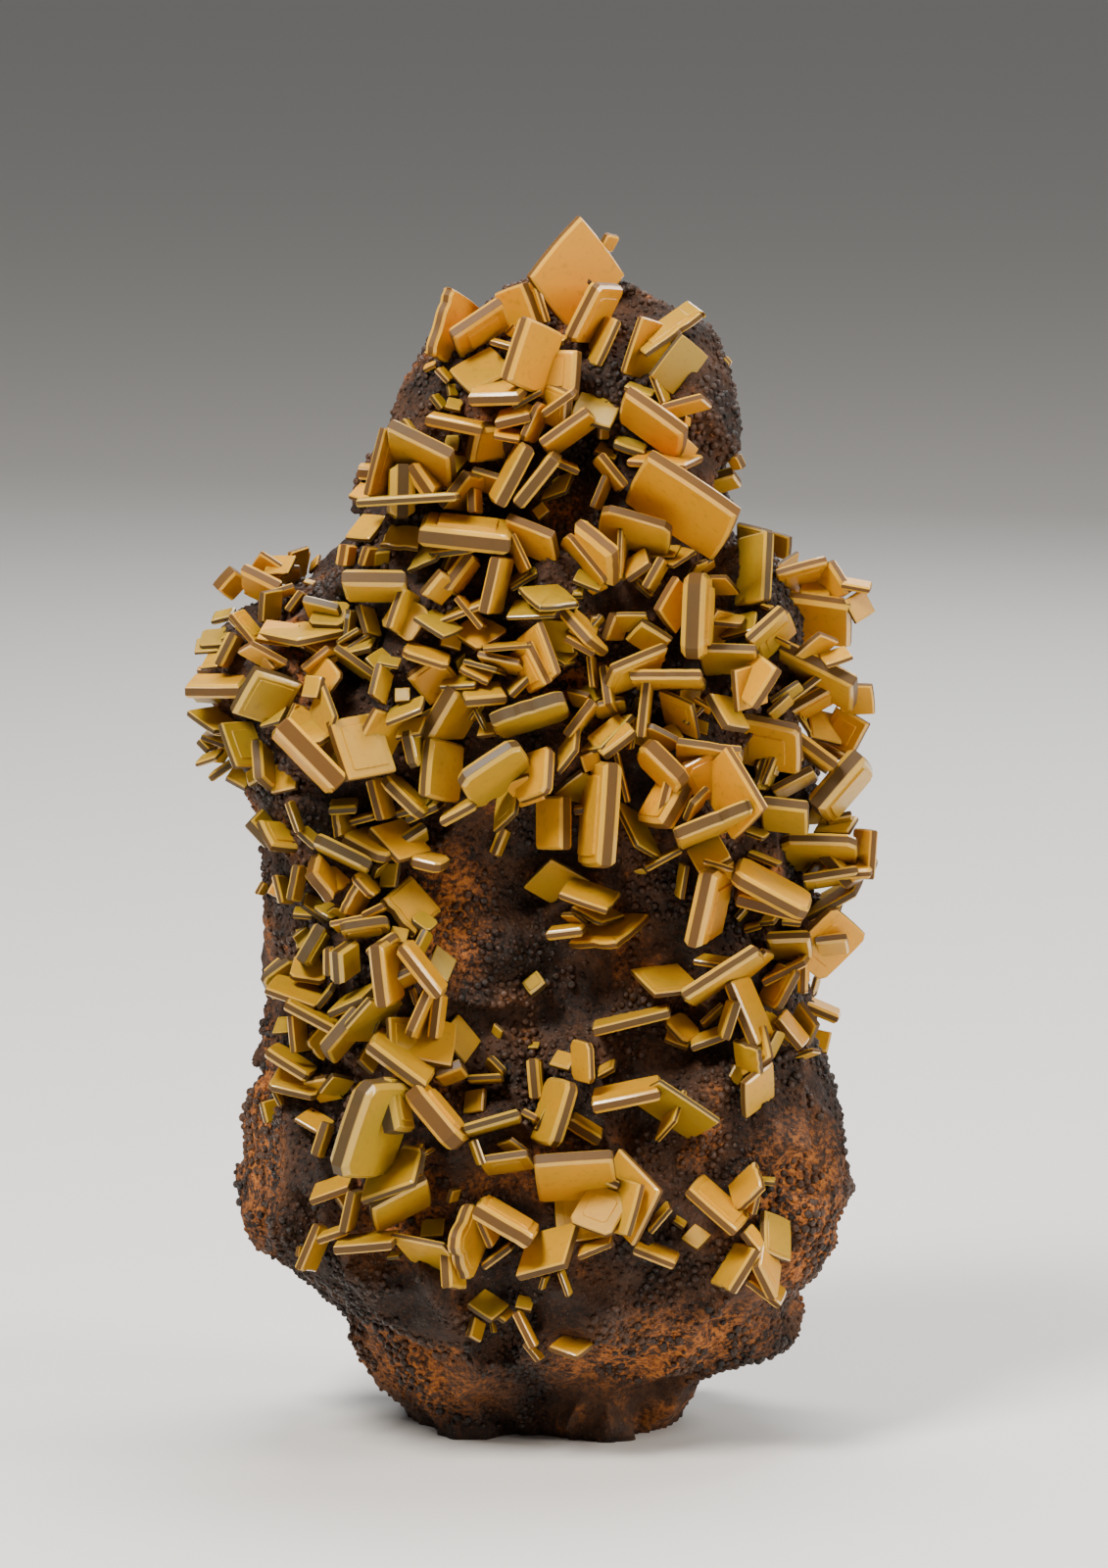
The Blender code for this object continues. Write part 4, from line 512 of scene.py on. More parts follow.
        (16, 73.4, 17.8, 75.2, 15.2, 71.4, 0.9, 0.5, 4), (24.4, 83.6, 26.8, 85.8, 25, 82.8, 0.7, 0.5, 2),
        (24.6, 85, 27.8, 87.2, 25.4, 84, 0.6, 0.3, 1),
        (11.72, 81.89, 12.83, 80.23, 13.61, 82.85, 0.6, 0.4, 1),
        (13.72, 84.11, 15.83, 84.78, 13.83, 84.56, 0.5, 0.2, 1),
        (14.94, 82.67, 16.72, 84.56, 14.5, 83.3, 0.5, 0.15, 1),
        (28.83, 84.63, 29.32, 81.2, 32.26, 83.81, 0.8, 0.65, 1),
        (30.3, 81.2, 31.28, 78.75, 33.24, 81.53, 0.7, 0.6, 1),
        (32.59, 87.08, 35.85, 86.92, 33.08, 84.14, 0.8, 0.55, 1),
        (27.69, 97.54, 31.28, 97.05, 28.01, 99.83, 0.8, 0.6, 1),
        (23.04, 75.15, 24.25, 79.07, 24.74, 74.99, 0.8, 0.3, 2),
    ],
    "left_column": [
        (-34.2, 71.8, -31.8, 69.2, -33, 73.2, 1.6, 0.5, 2),
        (-31.8, 69, -28.2, 68.6, -33.4, 72, 1.3, 0.55, 1), (-30, 73.8, -28.8, 70.4, -29.4, 74, 0.6, 0.45, 1),
        (-28.8, 70.6, -26.8, 68.8, -28, 71.2, 0.8, 0.2, 1),
        (-25.6, 73.2, -22.4, 73.4, -25.4, 74.2, 1.1, 0.25, 1),
        (-24.6, 73, -24.2, 70, -22.4, 72, 1.1, 0.55, 1),
        (-23.4, 71.6, -20.4, 72.4, -22.8, 72.2, 0.7, 0.55, 1),
        (-24.2, 70.4, -19.2, 67.8, -21.4, 71.4, 1.4, 0.6, 3),
        (-20.8, 71, -17.4, 67.4, -17.2, 72, 1, 0.65, 3),
        (-19.2, 71.8, -20.4, 76.4, -17.8, 72.2, 1.1, 0.6, 2),
        (-18.9, 76.8, -14.6, 72.6, -18, 77.4, 1.4, 0.65, 4),
        (-18, 72.6, -14.6, 73.6, -17.2, 73.4, 0.8, 0.3, 3),
        (-16.8, 68.9, -14.2, 70.6, -16.6, 67.8, 1.4, 0.3, 4),
        (-16.4, 67.6, -13, 66.8, -15, 68.4, 1.3, 0.55, 4), (-27.4, 69, -21.2, 66, -27.2, 68.2, 1.6, 0.2, 3),
        (-27.2, 66, -24.8, 62.8, -26.6, 68.2, 1.5, 0.65, 3), (-27, 65.4, -24.8, 63.4, -25, 66.8, 1, 0.7, 3),
        (-29.6, 62.6, -28.8, 66.6, -28.6, 62.4, 0.9, 0.5, 1),
        (-30.6, 62.4, -31.4, 65.6, -29.4, 62.2, 0.8, 0.6, 1),
        (-32.6, 63.4, -31.8, 64.8, -31, 62.6, 0.8, 1, 2), (-33.6, 63.2, -32.8, 64.6, -32.9, 63, 0.6, 0.6, 1),
        (-22.6, 65.6, -20.4, 63.2, -21.6, 66.2, 0.9, 0.6, 3),
        (-23.8, 61, -21.6, 65, -21.8, 60.6, 1, 0.55, 2),
        (-19.2, 62.9, -16.2, 65.6, -15.6, 58.8, 1.5, 0.6, 4),
        (-21.6, 60.4, -19.2, 61.6, -21, 60.4, 0.9, 0.5, 3), (-24.1, 59, -18.8, 59.8, -23.8, 58, 1.3, 0.5, 4),
        (-25.4, 59.6, -21.6, 60.4, -24.6, 58.8, 0.7, 0.6, 3),
        (-20, 66, -18.6, 67, -20.4, 64.8, 0.8, 0.35, 1), (-27.4, 62, -25.4, 60.6, -25.4, 62.6, 0.6, 0.15, 1),
        (-29.6, 61.2, -27.4, 61, -29.4, 62, 0.7, 0.4, 1), (-28, 55.4, -25.7, 59.4, -27.6, 54.8, 1.6, 0.3, 3),
        (-29.6, 58.4, -28, 59.6, -28.8, 57.2, 0.5, 0.1, 1), (-24, 56.6, -22, 58, -23.8, 53, 1.9, 0.35, 4),
        (-25.2, 54, -25.2, 57.2, -24.8, 54.2, 1, 0.45, 3),
        (-19.4, 57.6, -18.6, 50.6, -17.6, 58.4, 1.8, 0.65, 3),
        (-20.8, 56, -17.6, 58.2, -20.4, 55.6, 1.2, 0.5, 4),
        (-16.8, 57.8, -12.4, 52.2, -16.2, 58.4, 1.6, 0.9, 5),
        (-17.8, 53.6, -15.2, 54.8, -17.6, 52.2, 1, 0.45, 2),
        (-15.4, 57, -14.2, 59.4, -14.8, 56.2, 0.8, 0.4, 1),
        (-14.2, 55.2, -12, 53.4, -13.2, 57.6, 0.6, 0.2, 0),
        (-16.2, 60.6, -14.2, 59.2, -15, 61.6, 0.7, 0.3, 1),
        (-30, 54.2, -26, 53.6, -29.4, 56.6, 0.9, 0.55, 2), (-32.4, 54, -30.6, 55.6, -32, 53.4, 1, 0.45, 2),
        (-32.6, 52.8, -27, 50.8, -31.4, 54.4, 0.9, 0.6, 3),
        (-27.2, 50.6, -25.6, 52.6, -26.8, 51.4, 0.8, 0.4, 2),
        (-30.2, 51.4, -24.6, 48.4, -29.8, 52, 1.2, 0.6, 3), (-25.8, 50, -21.8, 51.8, -24, 51.8, 1, 0.4, 3),
        (-24.6, 48.8, -22, 49, -24.2, 49.6, 0.8, 0.45, 3),
        (-24.6, 46.6, -20.6, 51.2, -20.8, 46.4, 0.9, 0.35, 3),
        (-29.2, 45.4, -29.6, 49.6, -27.4, 45.6, 0.8, 0.55, 2),
        (-27.6, 47.6, -26.4, 46.6, -27.2, 48, 0.4, 0.4, 2),
        (-18.4, 44.6, -18.6, 49.4, -15, 44.6, 0.9, 0.55, 2),
        (-16, 47.2, -13.6, 52.6, -15.4, 46.6, 1.1, 0.55, 4),
        (-13.2, 47, -12.6, 52, -12.6, 46.8, 1.2, 0.65, 4),
        (-16, 52.6, -15.4, 50.8, -15.8, 52.8, 0.5, 0.55, 2),
        (-32, 47.6, -29.6, 47.8, -31.4, 49.4, 0.5, 0.2, 0), (-26, 61, -24.8, 61.8, -24.4, 60, 0.6, 0.4, 1),
        (-19.8, 66.6, -19, 68, -19.4, 66.4, 0.5, 0.2, 1),
        (-28.31, 62.21, -25.54, 60.32, -27.88, 64.23, 0.8, 0.1, 1),
        (-29.32, 57.16, -27.3, 57.54, -29.45, 59.31, 0.6, 0.05, 1),
        (-32.93, 53.5, -29.58, 55.9, -31.72, 50.98, 1.1, 0.3, 2),
        (-20.36, 47.44, -19.35, 49.59, -19.73, 47.19, 0.4, 0.2, 2),
        (-19.98, 64.11, -18.1, 64.2, -19.6, 66.76, 0.7, 0.3, 2),
        (-18.79, 58.3, -16.82, 57.92, -18.34, 59.81, 0.7, 0.35, 1),
    ],
    "right_column": [
        (14, 69.4, 22.6, 72.8, 14.4, 68.2, 1.6, 0.55, 4), (15, 68.4, 16.4, 65.8, 18.6, 70.2, 0.9, 0.65, 2),
        (21.6, 70.6, 23.8, 69.8, 22.4, 71.2, 0.6, 0.35, 1), (25.6, 69, 34.2, 68.8, 25.8, 65.8, 1.5, 0.6, 4),
        (34, 64.8, 35.6, 65.2, 30, 69.4, 1.6, 0.7, 2), (30, 66, 35.8, 66.2, 31, 67.4, 1.2, 0.75, 3),
        (35.4, 65, 35.8, 70.6, 33.6, 65.2, 1, 0.7, 3), (28.2, 64.6, 34.4, 65.6, 28.6, 63.6, 1.1, 0.6, 5),
        (28.4, 65, 29.6, 66.6, 29.4, 65.2, 0.6, 0.5, 4), (20.6, 66, 28.8, 61.6, 21.4, 67.8, 1.8, 0.75, 5),
        (20.8, 63.4, 28.4, 61.4, 20.8, 65.2, 1.5, 0.75, 4), (22, 68.2, 25.4, 66.8, 22.6, 68.4, 0.6, 0.4, 1),
        (28.4, 60.8, 33.8, 63.8, 29.6, 63, 0.9, 0.5, 1), (33, 63.8, 34.2, 63.4, 33.4, 64.8, 0.8, 0.55, 2),
        (31.8, 61.8, 35.8, 58.4, 26.6, 56.6, 1.1, 0.75, 2), (16.6, 57, 18.4, 65.4, 19.2, 58.4, 2.2, 0.75, 4),
        (16.8, 66.8, 20.2, 65.8, 17, 65.8, 0.7, 0.5, 3), (24, 57.8, 29, 58, 24.4, 55.6, 1.6, 0.6, 3),
        (29.6, 57.6, 33.2, 58, 30, 56, 1.3, 0.55, 3), (14.8, 51.2, 23.2, 56.6, 15.8, 50.2, 1.5, 0.5, 4),
        (21, 53.8, 24.2, 56.6, 22, 53.4, 1, 0.6, 2), (23.4, 53.6, 28.2, 56, 24, 54.2, 0.9, 0.75, 4),
        (28.7, 52, 28.8, 59.4, 28.9, 52, 1.2, 0.8, 6), (20.2, 53.6, 23.2, 46.4, 22.4, 54, 1.3, 0.75, 5),
        (25, 50.4, 27.4, 54.8, 22.8, 51.2, 1, 0.6, 4), (27.2, 51.8, 32.4, 49.6, 27.6, 52.4, 1.2, 0.7, 4),
        (27.6, 51, 29.6, 48.4, 26.6, 48.6, 0.9, 0.6, 3), (25.4, 49.4, 28.2, 46, 26.4, 50.4, 0.9, 0.75, 5),
        (28.2, 46, 31, 45.4, 28.8, 48.4, 0.9, 0.7, 4), (23.4, 49.4, 26.8, 46.6, 24.2, 50.4, 0.9, 0.55, 3),
        (18.9, 47, 20.2, 51.2, 18.4, 47.4, 1.1, 0.55, 4), (15.4, 46.2, 19.2, 47.6, 15.4, 47.2, 0.9, 0.45, 3),
        (15.8, 56, 20, 55.4, 17, 56.6, 0.7, 0.6, 2), (12.6, 49.2, 15, 46.6, 14.6, 50.2, 1, 0.6, 2),
        (20.2, 46.6, 23, 45.6, 20.6, 43.6, 0.9, 0.55, 3), (24, 45, 25.4, 47.8, 25, 44.6, 0.6, 0.5, 1),
        (27.2, 44.6, 29.4, 45.4, 28.2, 44.4, 0.6, 0.65, 3), (21.4, 59.4, 23.4, 60, 21.6, 60, 0.7, 0.6, 1),
        (20.8, 60.4, 22, 61.8, 21, 60, 0.7, 0.35, 1), (23.2, 60.2, 24.8, 60.4, 24, 61.2, 0.7, 0.5, 1),
        (25.8, 60.4, 28, 60.2, 26, 61.2, 0.7, 0.5, 2), (29.8, 52.6, 30.4, 54.8, 30.2, 52.2, 0.6, 0.5, 1),
        (16.8, 48.6, 19.2, 50.8, 17.2, 48, 0.5, 0.5, 2), (14.2, 62.8, 14.8, 66.6, 13.6, 63.2, 0.6, 0.5, 1),
        (32.6, 72.2, 33.4, 70.6, 31.4, 70.4, 0.7, 0.6, 2),
        (29.32, 70.58, 33.24, 70.48, 30.63, 72.37, 0.9, 0.5, 1),
        (28.67, 71.07, 29.32, 73.36, 31.28, 71.23, 0.7, 0.45, 0),
        (29.81, 60.94, 31.93, 60.45, 30.63, 63.55, 0.6, 0.2, 0),
    ],
    "lower_left_fan": [
        (-32.4, 46, -27.6, 43, -31.4, 46.6, 1.2, 0.5, 2), (-32.4, 41.8, -27, 40.6, -31, 44.2, 0.9, 0.45, 1),
        (-28, 46.4, -26.2, 44.2, -26, 48.8, 0.7, 0.5, 2),
        (-25.4, 45.4, -21.6, 49.8, -24.8, 43.8, 1.7, 0.4, 3),
        (-20.6, 46.8, -14.2, 42, -19.6, 48.4, 1.6, 0.6, 4), (-17.6, 45.4, -11.6, 44, -17, 50, 0.9, 0.55, 2),
        (-12.6, 47.4, -10, 44.2, -10.8, 49.8, 0.7, 0.6, 1),
        (-13.4, 42.4, -10.4, 43.6, -12.6, 41.2, 1.4, 0.55, 3),
        (-22, 44.6, -20.4, 43, -21, 46.4, 0.9, 0.5, 3), (-23.8, 31.2, -20.4, 41.6, -18.6, 30.8, 2.6, 0.4, 5),
        (-17.4, 36.8, -18.6, 42.8, -15.6, 36.4, 2.6, 0.4, 5),
        (-15.4, 42, -10.2, 35.8, -14.4, 42, 2.4, 0.7, 5), (-26.6, 33.6, -25.4, 37.4, -26, 33.2, 1.1, 0.5, 2),
        (-22, 28.8, -16, 31, -21, 33, 1.1, 0.5, 3), (-20.4, 27.6, -14.2, 30.8, -20, 24.6, 1.4, 0.55, 4),
        (-15.8, 31, -15.2, 34.6, -18, 31.4, 1.2, 0.6, 3), (-24, 40, -26, 42.4, -26.6, 39.4, 0.9, 0.5, 1),
        (-29.4, 38, -26.6, 36.4, -27.6, 39.2, 0.6, 0.6, 0),
        (-33, 39.8, -32.4, 37.4, -31.4, 40.2, 0.8, 0.45, 1),
        (-31.6, 41, -30.8, 39.4, -31.2, 41.2, 0.5, 0.35, 1),
        (-27.8, 28.8, -23.4, 30.4, -27.2, 30.4, 0.9, 0.6, 2),
        (-23.4, 25, -22.4, 29.6, -22.6, 25, 1.1, 0.6, 3),
        (-24.6, 29, -23.6, 27.4, -23.4, 29.8, 0.7, 0.55, 2),
        (-28.6, 20.6, -26.4, 25.8, -27, 20.2, 1, 0.6, 2), (-27, 24.4, -23.6, 25.6, -26.4, 25, 0.9, 0.6, 3),
        (-25, 23.6, -18.4, 24.2, -24.2, 24.6, 1.1, 0.6, 3),
        (-18.6, 24.4, -12.6, 23.4, -16, 21, 0.8, 0.55, 2), (-11, 24, -8.8, 28.8, -9.4, 19, 1.5, 0.65, 5),
        (-11.6, 18.8, -11.9, 23.6, -9.8, 18.4, 1.4, 0.6, 4),
        (-15.2, 24.6, -12.6, 24.8, -15, 26.4, 0.5, 0.2, 0),
        (-29, 22.2, -28.8, 23.4, -28.5, 22.2, 0.4, 0.6, 1),
        (-11.8, 28.2, -11.4, 29.6, -10.8, 28.4, 0.8, 0.55, 1),
        (-26.6, 40.6, -25, 42.6, -24, 40, 0.8, 0.45, 1), (-19, 22.2, -17.6, 22.4, -18.6, 22.8, 0.5, 0.3, 1),
        (-17.2, 33.4, -14.4, 34.2, -16.4, 33.8, 0.4, 0.5, 2),
    ],
    "lower_middle": [
        (-10, 36.2, -3.8, 38, -9.8, 35.4, 1.2, 0.35, 3), (-3.8, 38.4, -2.2, 37.6, -3.4, 38, 0.8, 0.5, 2),
        (-9.4, 35.4, -8.4, 32.6, -9.8, 35.2, 0.8, 0.6, 2), (-8.4, 32.8, -3, 33.6, -7.6, 31.2, 1, 0.6, 2),
        (-3, 33.8, -5, 35.4, -4.6, 33.2, 0.7, 0.4, 1), (-2.2, 32.6, 6.6, 33.2, -1.6, 28, 1.7, 0.6, 4),
        (-0.6, 35, 1.6, 42.2, -3.2, 35.4, 1.6, 0.6, 4), (-2.2, 36.8, -0.6, 40, -2.6, 36.8, 0.6, 0.5, 3),
        (-1.4, 40.2, -1.8, 44.8, -1, 40, 1.4, 0.55, 2), (2, 38, 5.6, 35.8, 2.2, 38.8, 1.4, 0.6, 3),
        (-0.6, 44.2, 1.6, 43.6, 0.4, 45.8, 0.8, 0.6, 1), (4, 41.8, 3.8, 46.4, 2, 42.2, 0.8, 0.6, 2),
        (4.8, 42.8, 6.6, 43.8, 5, 43.8, 0.8, 0.6, 1), (4.2, 39.8, 11.8, 41.4, 4.4, 41.2, 1.4, 0.65, 3),
        (11.6, 41.2, 14.2, 38.8, 9.8, 39.8, 0.8, 0.6, 1), (11.8, 42, 18.6, 37.4, 8.6, 39.8, 0.7, 0.35, 0),
        (11.4, 35.4, 13.4, 37.8, 12.6, 38.8, 0.6, 0.6, 1), (0.4, 23.8, 6.2, 24.6, 0, 29.6, 1, 0.6, 2),
        (1.6, 26.4, 6.2, 24.8, 4.2, 30.6, 1, 0.55, 4), (3.4, 31.6, 7.2, 30, 3.4, 30.4, 0.9, 0.45, 3),
        (8, 24.8, 9.6, 30.6, 5, 25.4, 1.1, 0.6, 3), (8.8, 23.4, 11.8, 29.8, 4.2, 28, 1, 0.6, 1),
        (9.2, 23.6, 13.8, 21.8, 9.8, 24.4, 1.1, 0.65, 3), (10.6, 25.2, 13, 28, 10.4, 25.8, 0.7, 0.55, 1),
        (2.6, 22.4, 6.4, 24, 2.8, 23.8, 0.7, 0.55, 2), (-4.4, 20.2, 1, 21.8, -3, 24.6, 1.2, 0.65, 3),
        (0.6, 23.6, 1, 21.6, -0.6, 23.4, 1, 0.6, 2), (-8.6, 28.6, -2.2, 24.8, -7.8, 29.4, 2, 0.7, 5),
        (-8.2, 26.6, -6.8, 23.4, -7.4, 27.6, 0.9, 0.65, 3), (-6.6, 25.8, -5, 26.8, -6.6, 26.6, 0.7, 0.6, 2),
        (-8.4, 21.4, -5.2, 23.8, -8, 21.8, 0.9, 0.55, 3), (-9.8, 17, -7, 15.2, -7.8, 18.6, 0.9, 0.35, 2),
        (-5.4, 15, -4.4, 16, -7.2, 16.4, 0.8, 0.4, 2), (-9.4, 13.2, -8.2, 12.4, -8.8, 15.4, 0.9, 0.6, 1),
        (-4, 16.2, -2, 12.2, -3.6, 16.2, 0.9, 0.85, 2), (-4.4, 16.6, -2.6, 16.2, -4, 18, 0.8, 0.5, 1),
        (0.8, 20.6, 1.8, 17.8, 1.2, 20.8, 0.5, 0.55, 2), (-1.4, 18.4, -1, 19.8, -0.8, 18.6, 0.5, 0.5, 2),
        (-7, 14.8, -6.8, 13.6, -6.6, 14.8, 0.4, 0.5, 2), (-0.6, 12.2, 2.6, 11.2, 1.4, 13.6, 0.9, 0.75, 1),
        (-9.8, 42, -6, 42.2, -9.4, 41.6, 0.9, 0.5, 2), (-10.4, 38.4, -8.2, 38.8, -10.2, 41, 0.8, 0.55, 1),
        (-7.6, 44.8, -5.8, 43, -8, 43.8, 0.8, 0.5, 1), (-3, 46, -1.8, 46, -2.8, 46.6, 0.4, 0.4, 1),
        (-3.2, 12.6, -1.6, 10.6, -2.6, 12.8, 0.6, 0.7, 1), (12.6, 47, 15.2, 46, 13.2, 48.6, 0.7, 0.55, 1),
    ],
    "lower_right": [
        (15.4, 30.2, 20.8, 25.4, 17, 31.6, 1.2, 0.7, 3), (20.4, 27.4, 23.4, 30.4, 19.6, 30.2, 1.1, 0.65, 4),
        (22.4, 27, 22.9, 29, 21.4, 27.6, 0.7, 0.55, 2), (22.8, 31, 25, 30.8, 23, 31.4, 0.6, 0.35, 1),
        (21.6, 25.2, 23.4, 23, 22.6, 26, 1, 0.7, 3), (23.4, 21.4, 24, 25, 25.4, 17.4, 1.3, 0.7, 4),
        (22, 19.8, 25.8, 16.9, 22.8, 21.2, 0.9, 0.7, 3), (24, 23, 27, 21.6, 24, 27.6, 0.9, 0.4, 1),
        (19.6, 18.6, 22.6, 23.4, 17.6, 19.2, 1.3, 0.65, 2), (14.4, 24.4, 16.2, 23.2, 16, 26, 0.8, 0.55, 1),
        (13.6, 26.4, 14.8, 25.6, 14, 27, 0.6, 0.5, 1), (21.8, 41.8, 25, 44.2, 22, 37.8, 1.1, 0.5, 2),
        (21.2, 42.8, 24.4, 45, 20.4, 46.4, 1, 0.6, 2), (19.8, 42.4, 21, 41.6, 20.6, 44, 0.8, 0.55, 1),
        (18.8, 26.8, 20.2, 25.6, 19.6, 27.4, 0.6, 0.6, 2), (17.7, 34.9, 18, 35.2, 17.8, 34.8, 0.3, 0.4, 1),
    ],
    "bare_patch": [
        (-3.5, 63.9, -0.3, 67.1, 0.9, 61.4, 0.9, 0.55, 1), (0.6, 63.6, 6.1, 61.7, 2.2, 65.4, 0.9, 0.65, 2),
        (5.3, 60.2, 8.1, 61, 2, 62, 0.7, 0.6, 1), (7, 57.9, 10.8, 61.2, 1.5, 57.9, 1, 0.8, 3),
        (-1, 59.1, 3.1, 59.6, -0.4, 59.7, 1.1, 0.55, 3), (2.1, 60.8, 3.6, 59.6, 0.7, 60.8, 0.6, 0.55, 2),
        (-2.8, 52, -1.1, 53.4, -3.8, 53.4, 1.3, 0.45, 2), (11.4, 52.2, 16.8, 52.8, 8.7, 54.9, 0.8, 0.65, 1),
        (4.3, 48.3, 12.9, 50.4, 4.5, 48.9, 1.1, 0.55, 2), (-6.9, 48.6, -5.9, 47.7, -7.2, 47.6, 0.5, 0.45, 2),
        (9, 65.9, 10, 66.2, 9.6, 65.2, 0.5, 0.3, 1), (10.2, 66.4, 14.2, 68.6, 10.4, 66.9, 0.7, 0.5, 2),
    ],
}
print("plates", sum(map(len, PLATES.values())), "in", len(PLATES), "regions")

# %% [markdown]
# ## How a square plate lies
# Seen from the front, a plate is a slanted four-sided shape. Its tilt could be tried out by hand, but both
# sides are as long and square to each other, and that settles how far each one runs back: the two unseen
# depths are the two parts of one complex square root. The plate is then moved back along the line of
# sight until it is rooted in the rock, or in a plate that already stands. One whose line of sight passes
# beside the rock is drawn to the nearest rock instead.

# %% Side, back and normal of a plate


def plate_frame(row):
    """The plate's two sides and its normal, turned to the eye, from the three corners that are seen."""
    ax, az, bx, bz, cx, cz = row[:6]
    near = complex(bx - ax, bz - az)
    far = complex(cx - ax, cz - az)
    dot = (near * far.conjugate()).real
    root = complex(abs(near) ** 2 - abs(far) ** 2, -2.0 * dot) ** 0.5
    if root.real < 0:
        root = -root
    side = RIGHT * near.real + UP * near.imag + FORWARD * root.imag
    back = RIGHT * far.real + UP * far.imag + FORWARD * root.real
    normal = side.cross(back).normalized()
    if normal.dot(FORWARD) > 0:
        normal = -normal
    return side, back, normal


def sight_line(across, height):
    """The direction from the eye to a place on the sheet."""
    return (FORWARD * EYE_DISTANCE + RIGHT * across + UP * (height - SHEET_MIDDLE)).normalized()


print("the topmost plate is", round(plate_frame(PLATES["crown"][0])[0].length, 1), "mm wide")

# %% The plain form of a plate, which finds its root
RIM_INSET, RIM_INSET_MOST = 0.3, 0.25
BOX_BELOW = 5.5


def plain_points(face_middle, side, back, normal, thick):
    """Rings of four corners through the plate: face, waist and back face, or just two for a small one."""
    size = min(side.length, back.length)
    inset = min(RIM_INSET * thick, RIM_INSET_MOST * size)
    if max(side.length, back.length) < BOX_BELOW:
        steps = [(0.0, 0.0), (-thick, 0.0)]
    else:
        steps = [(0.0, inset), (-thick / 2, 0.0), (-thick, inset)]
    points = []
    for depth, narrow in steps:
        half_side = side / 2 * (1 - 2 * narrow / side.length)
        half_back = back / 2 * (1 - 2 * narrow / back.length)
        for a, b in ((-1, -1), (1, -1), (1, 1), (-1, 1)):
            points.append(face_middle + normal * depth + half_side * a + half_back * b)
    return points


def plain_faces(count):
    """The two caps and the sides of a form of that many points, in rings of four."""
    faces = [(0, 1, 2, 3), tuple(range(count - 1, count - 5, -1))]
    for ring in range(0, count - 4, 4):
        for i in range(4):
            j = (i + 1) % 4
            faces.append((ring + i, ring + 4 + i, ring + 4 + j, ring + j))
    return faces


def body_of(points):
    """The lowest and highest corners of a plain form in millimetres, and its search tree in metres."""
    tree = BVHTree.FromPolygons([p * MM for p in points], plain_faces(len(points)))
    return Vector(map(min, zip(*points))), Vector(map(max, zip(*points))), tree


print("a small plain form has", len(plain_faces(8)), "faces, a large one", len(plain_faces(12)))

# %% Where each plate is rooted
LAYER_BASE = 0.3
LAYER_STEP = 0.75
DEPTH_SHARE = 0.35
SINK_STEP = 0.5
SINK_MOST = 14.0
ROOT_DEPTH = 0.4
PULL_STEPS = 12
PASS_REACH = 40
LARGE = 4.6

rock_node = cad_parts["matrix"]
rock_tree = BVHTree.FromPolygons(
    [vert.co for vert in rock_node.data.vertices], [face.vertices for face in rock_node.data.polygons]
)


def rock_depth(across, height):
    """How far along the sight line the rock lies, or where the line passes nearest to it."""
    aim = sight_line(across, height)
    hit = rock_tree.ray_cast(EYE * MM, aim)
    if hit[0] is not None:
        return hit[3] / MM
    reach = [EYE_DISTANCE + i for i in range(-PASS_REACH, PASS_REACH)]
    return min(reach, key=lambda far: rock_tree.find_nearest((EYE + aim * far) * MM)[3])


def rooted(points, standing):
    """Whether a plate reaches into the rock or into a plate that already stands."""
    for point in points + [sum(points, Vector()) / len(points)]:
        spot, outward, _, _ = rock_tree.find_nearest(point * MM)
        if (point * MM - spot).dot(outward) < -ROOT_DEPTH * MM:
            return True
    low, high, body = body_of(points)
    for other_low, other_high, other in standing:
        apart = any(low[i] > other_high[i] or high[i] < other_low[i] for i in range(3))
        if not apart and body.overlap(other):
            return True
    return False


def stand(row, standing):
    """The middle of the plate's front face once it is rooted, its sides, normal, thickness and warmth."""
    side, back, normal = plate_frame(row)
    thick, warmth, layer = row[6:]
    across, height = (row[2] + row[4]) / 2, (row[3] + row[5]) / 2
    deep = abs(side.dot(FORWARD)) + abs(back.dot(FORWARD))
    out = LAYER_BASE + LAYER_STEP * layer + DEPTH_SHARE * deep
    aim = sight_line(across, height)
    far = rock_depth(across, height)
    places = [EYE + aim * (far - out + SINK_STEP * k) for k in range(int(SINK_MOST / SINK_STEP) + 1)]
    beside = EYE + aim * far
    rock_spot = rock_tree.find_nearest(beside * MM)[0] / MM
    places += [beside.lerp(rock_spot, k / PULL_STEPS) for k in range(1, PULL_STEPS + 1)]
    for middle in places:
        points = plain_points(middle, side, back, normal, thick)
        if rooted(points, standing):
            break
    standing.append(body_of(points))
    return middle, side, back, normal, thick, warmth


def turn(pair):
    """The large plates stand before the small ones, and the lower layers before the higher."""
    row = pair[1]
    return plate_frame(row)[0].length < LARGE, row[8]


rows = [(region, row) for region, listed in PLATES.items() for row in listed]
standing = []
plates = [(region, stand(row, standing)) for region, row in sorted(rows, key=turn)]
print("stood", len(plates), "plates")

# %% [markdown]
# ## The form of one crystal
# A wulfenite plate is a square tablet whose rim has three stripes: a slanted bevel, a flat band and a
# second bevel. Its sides bulge a little, some corners are cut, and a face often carries a terrace where
# the last layer stopped growing. It could be a bevelled cube, but a loft through rings lets every crystal
# have its own outline, terrace and bites, and carries the stripes as attributes for the material.

# %% Outline of a crystal
SIDE_STEPS, LARGE_SIDE_STEPS = 6, 10
LARGE_PLATE = 7.5
CUT, DEEP_CUT, DEEP_CUT_SHARE = (0.02, 0.06), (0.12, 0.3), 0.15
BULGE = 0.05
WAVE, WAVE_RATE = 0.006, 3
EATEN_PLATES, EATEN_SIDES = 0.3, 0.5
BITE, BITE_RATE, BITE_BIAS, BITE_JAG, BITE_SLICE = 0.16, 2.6, 0.12, 0.03, 7
SEEDS = 100


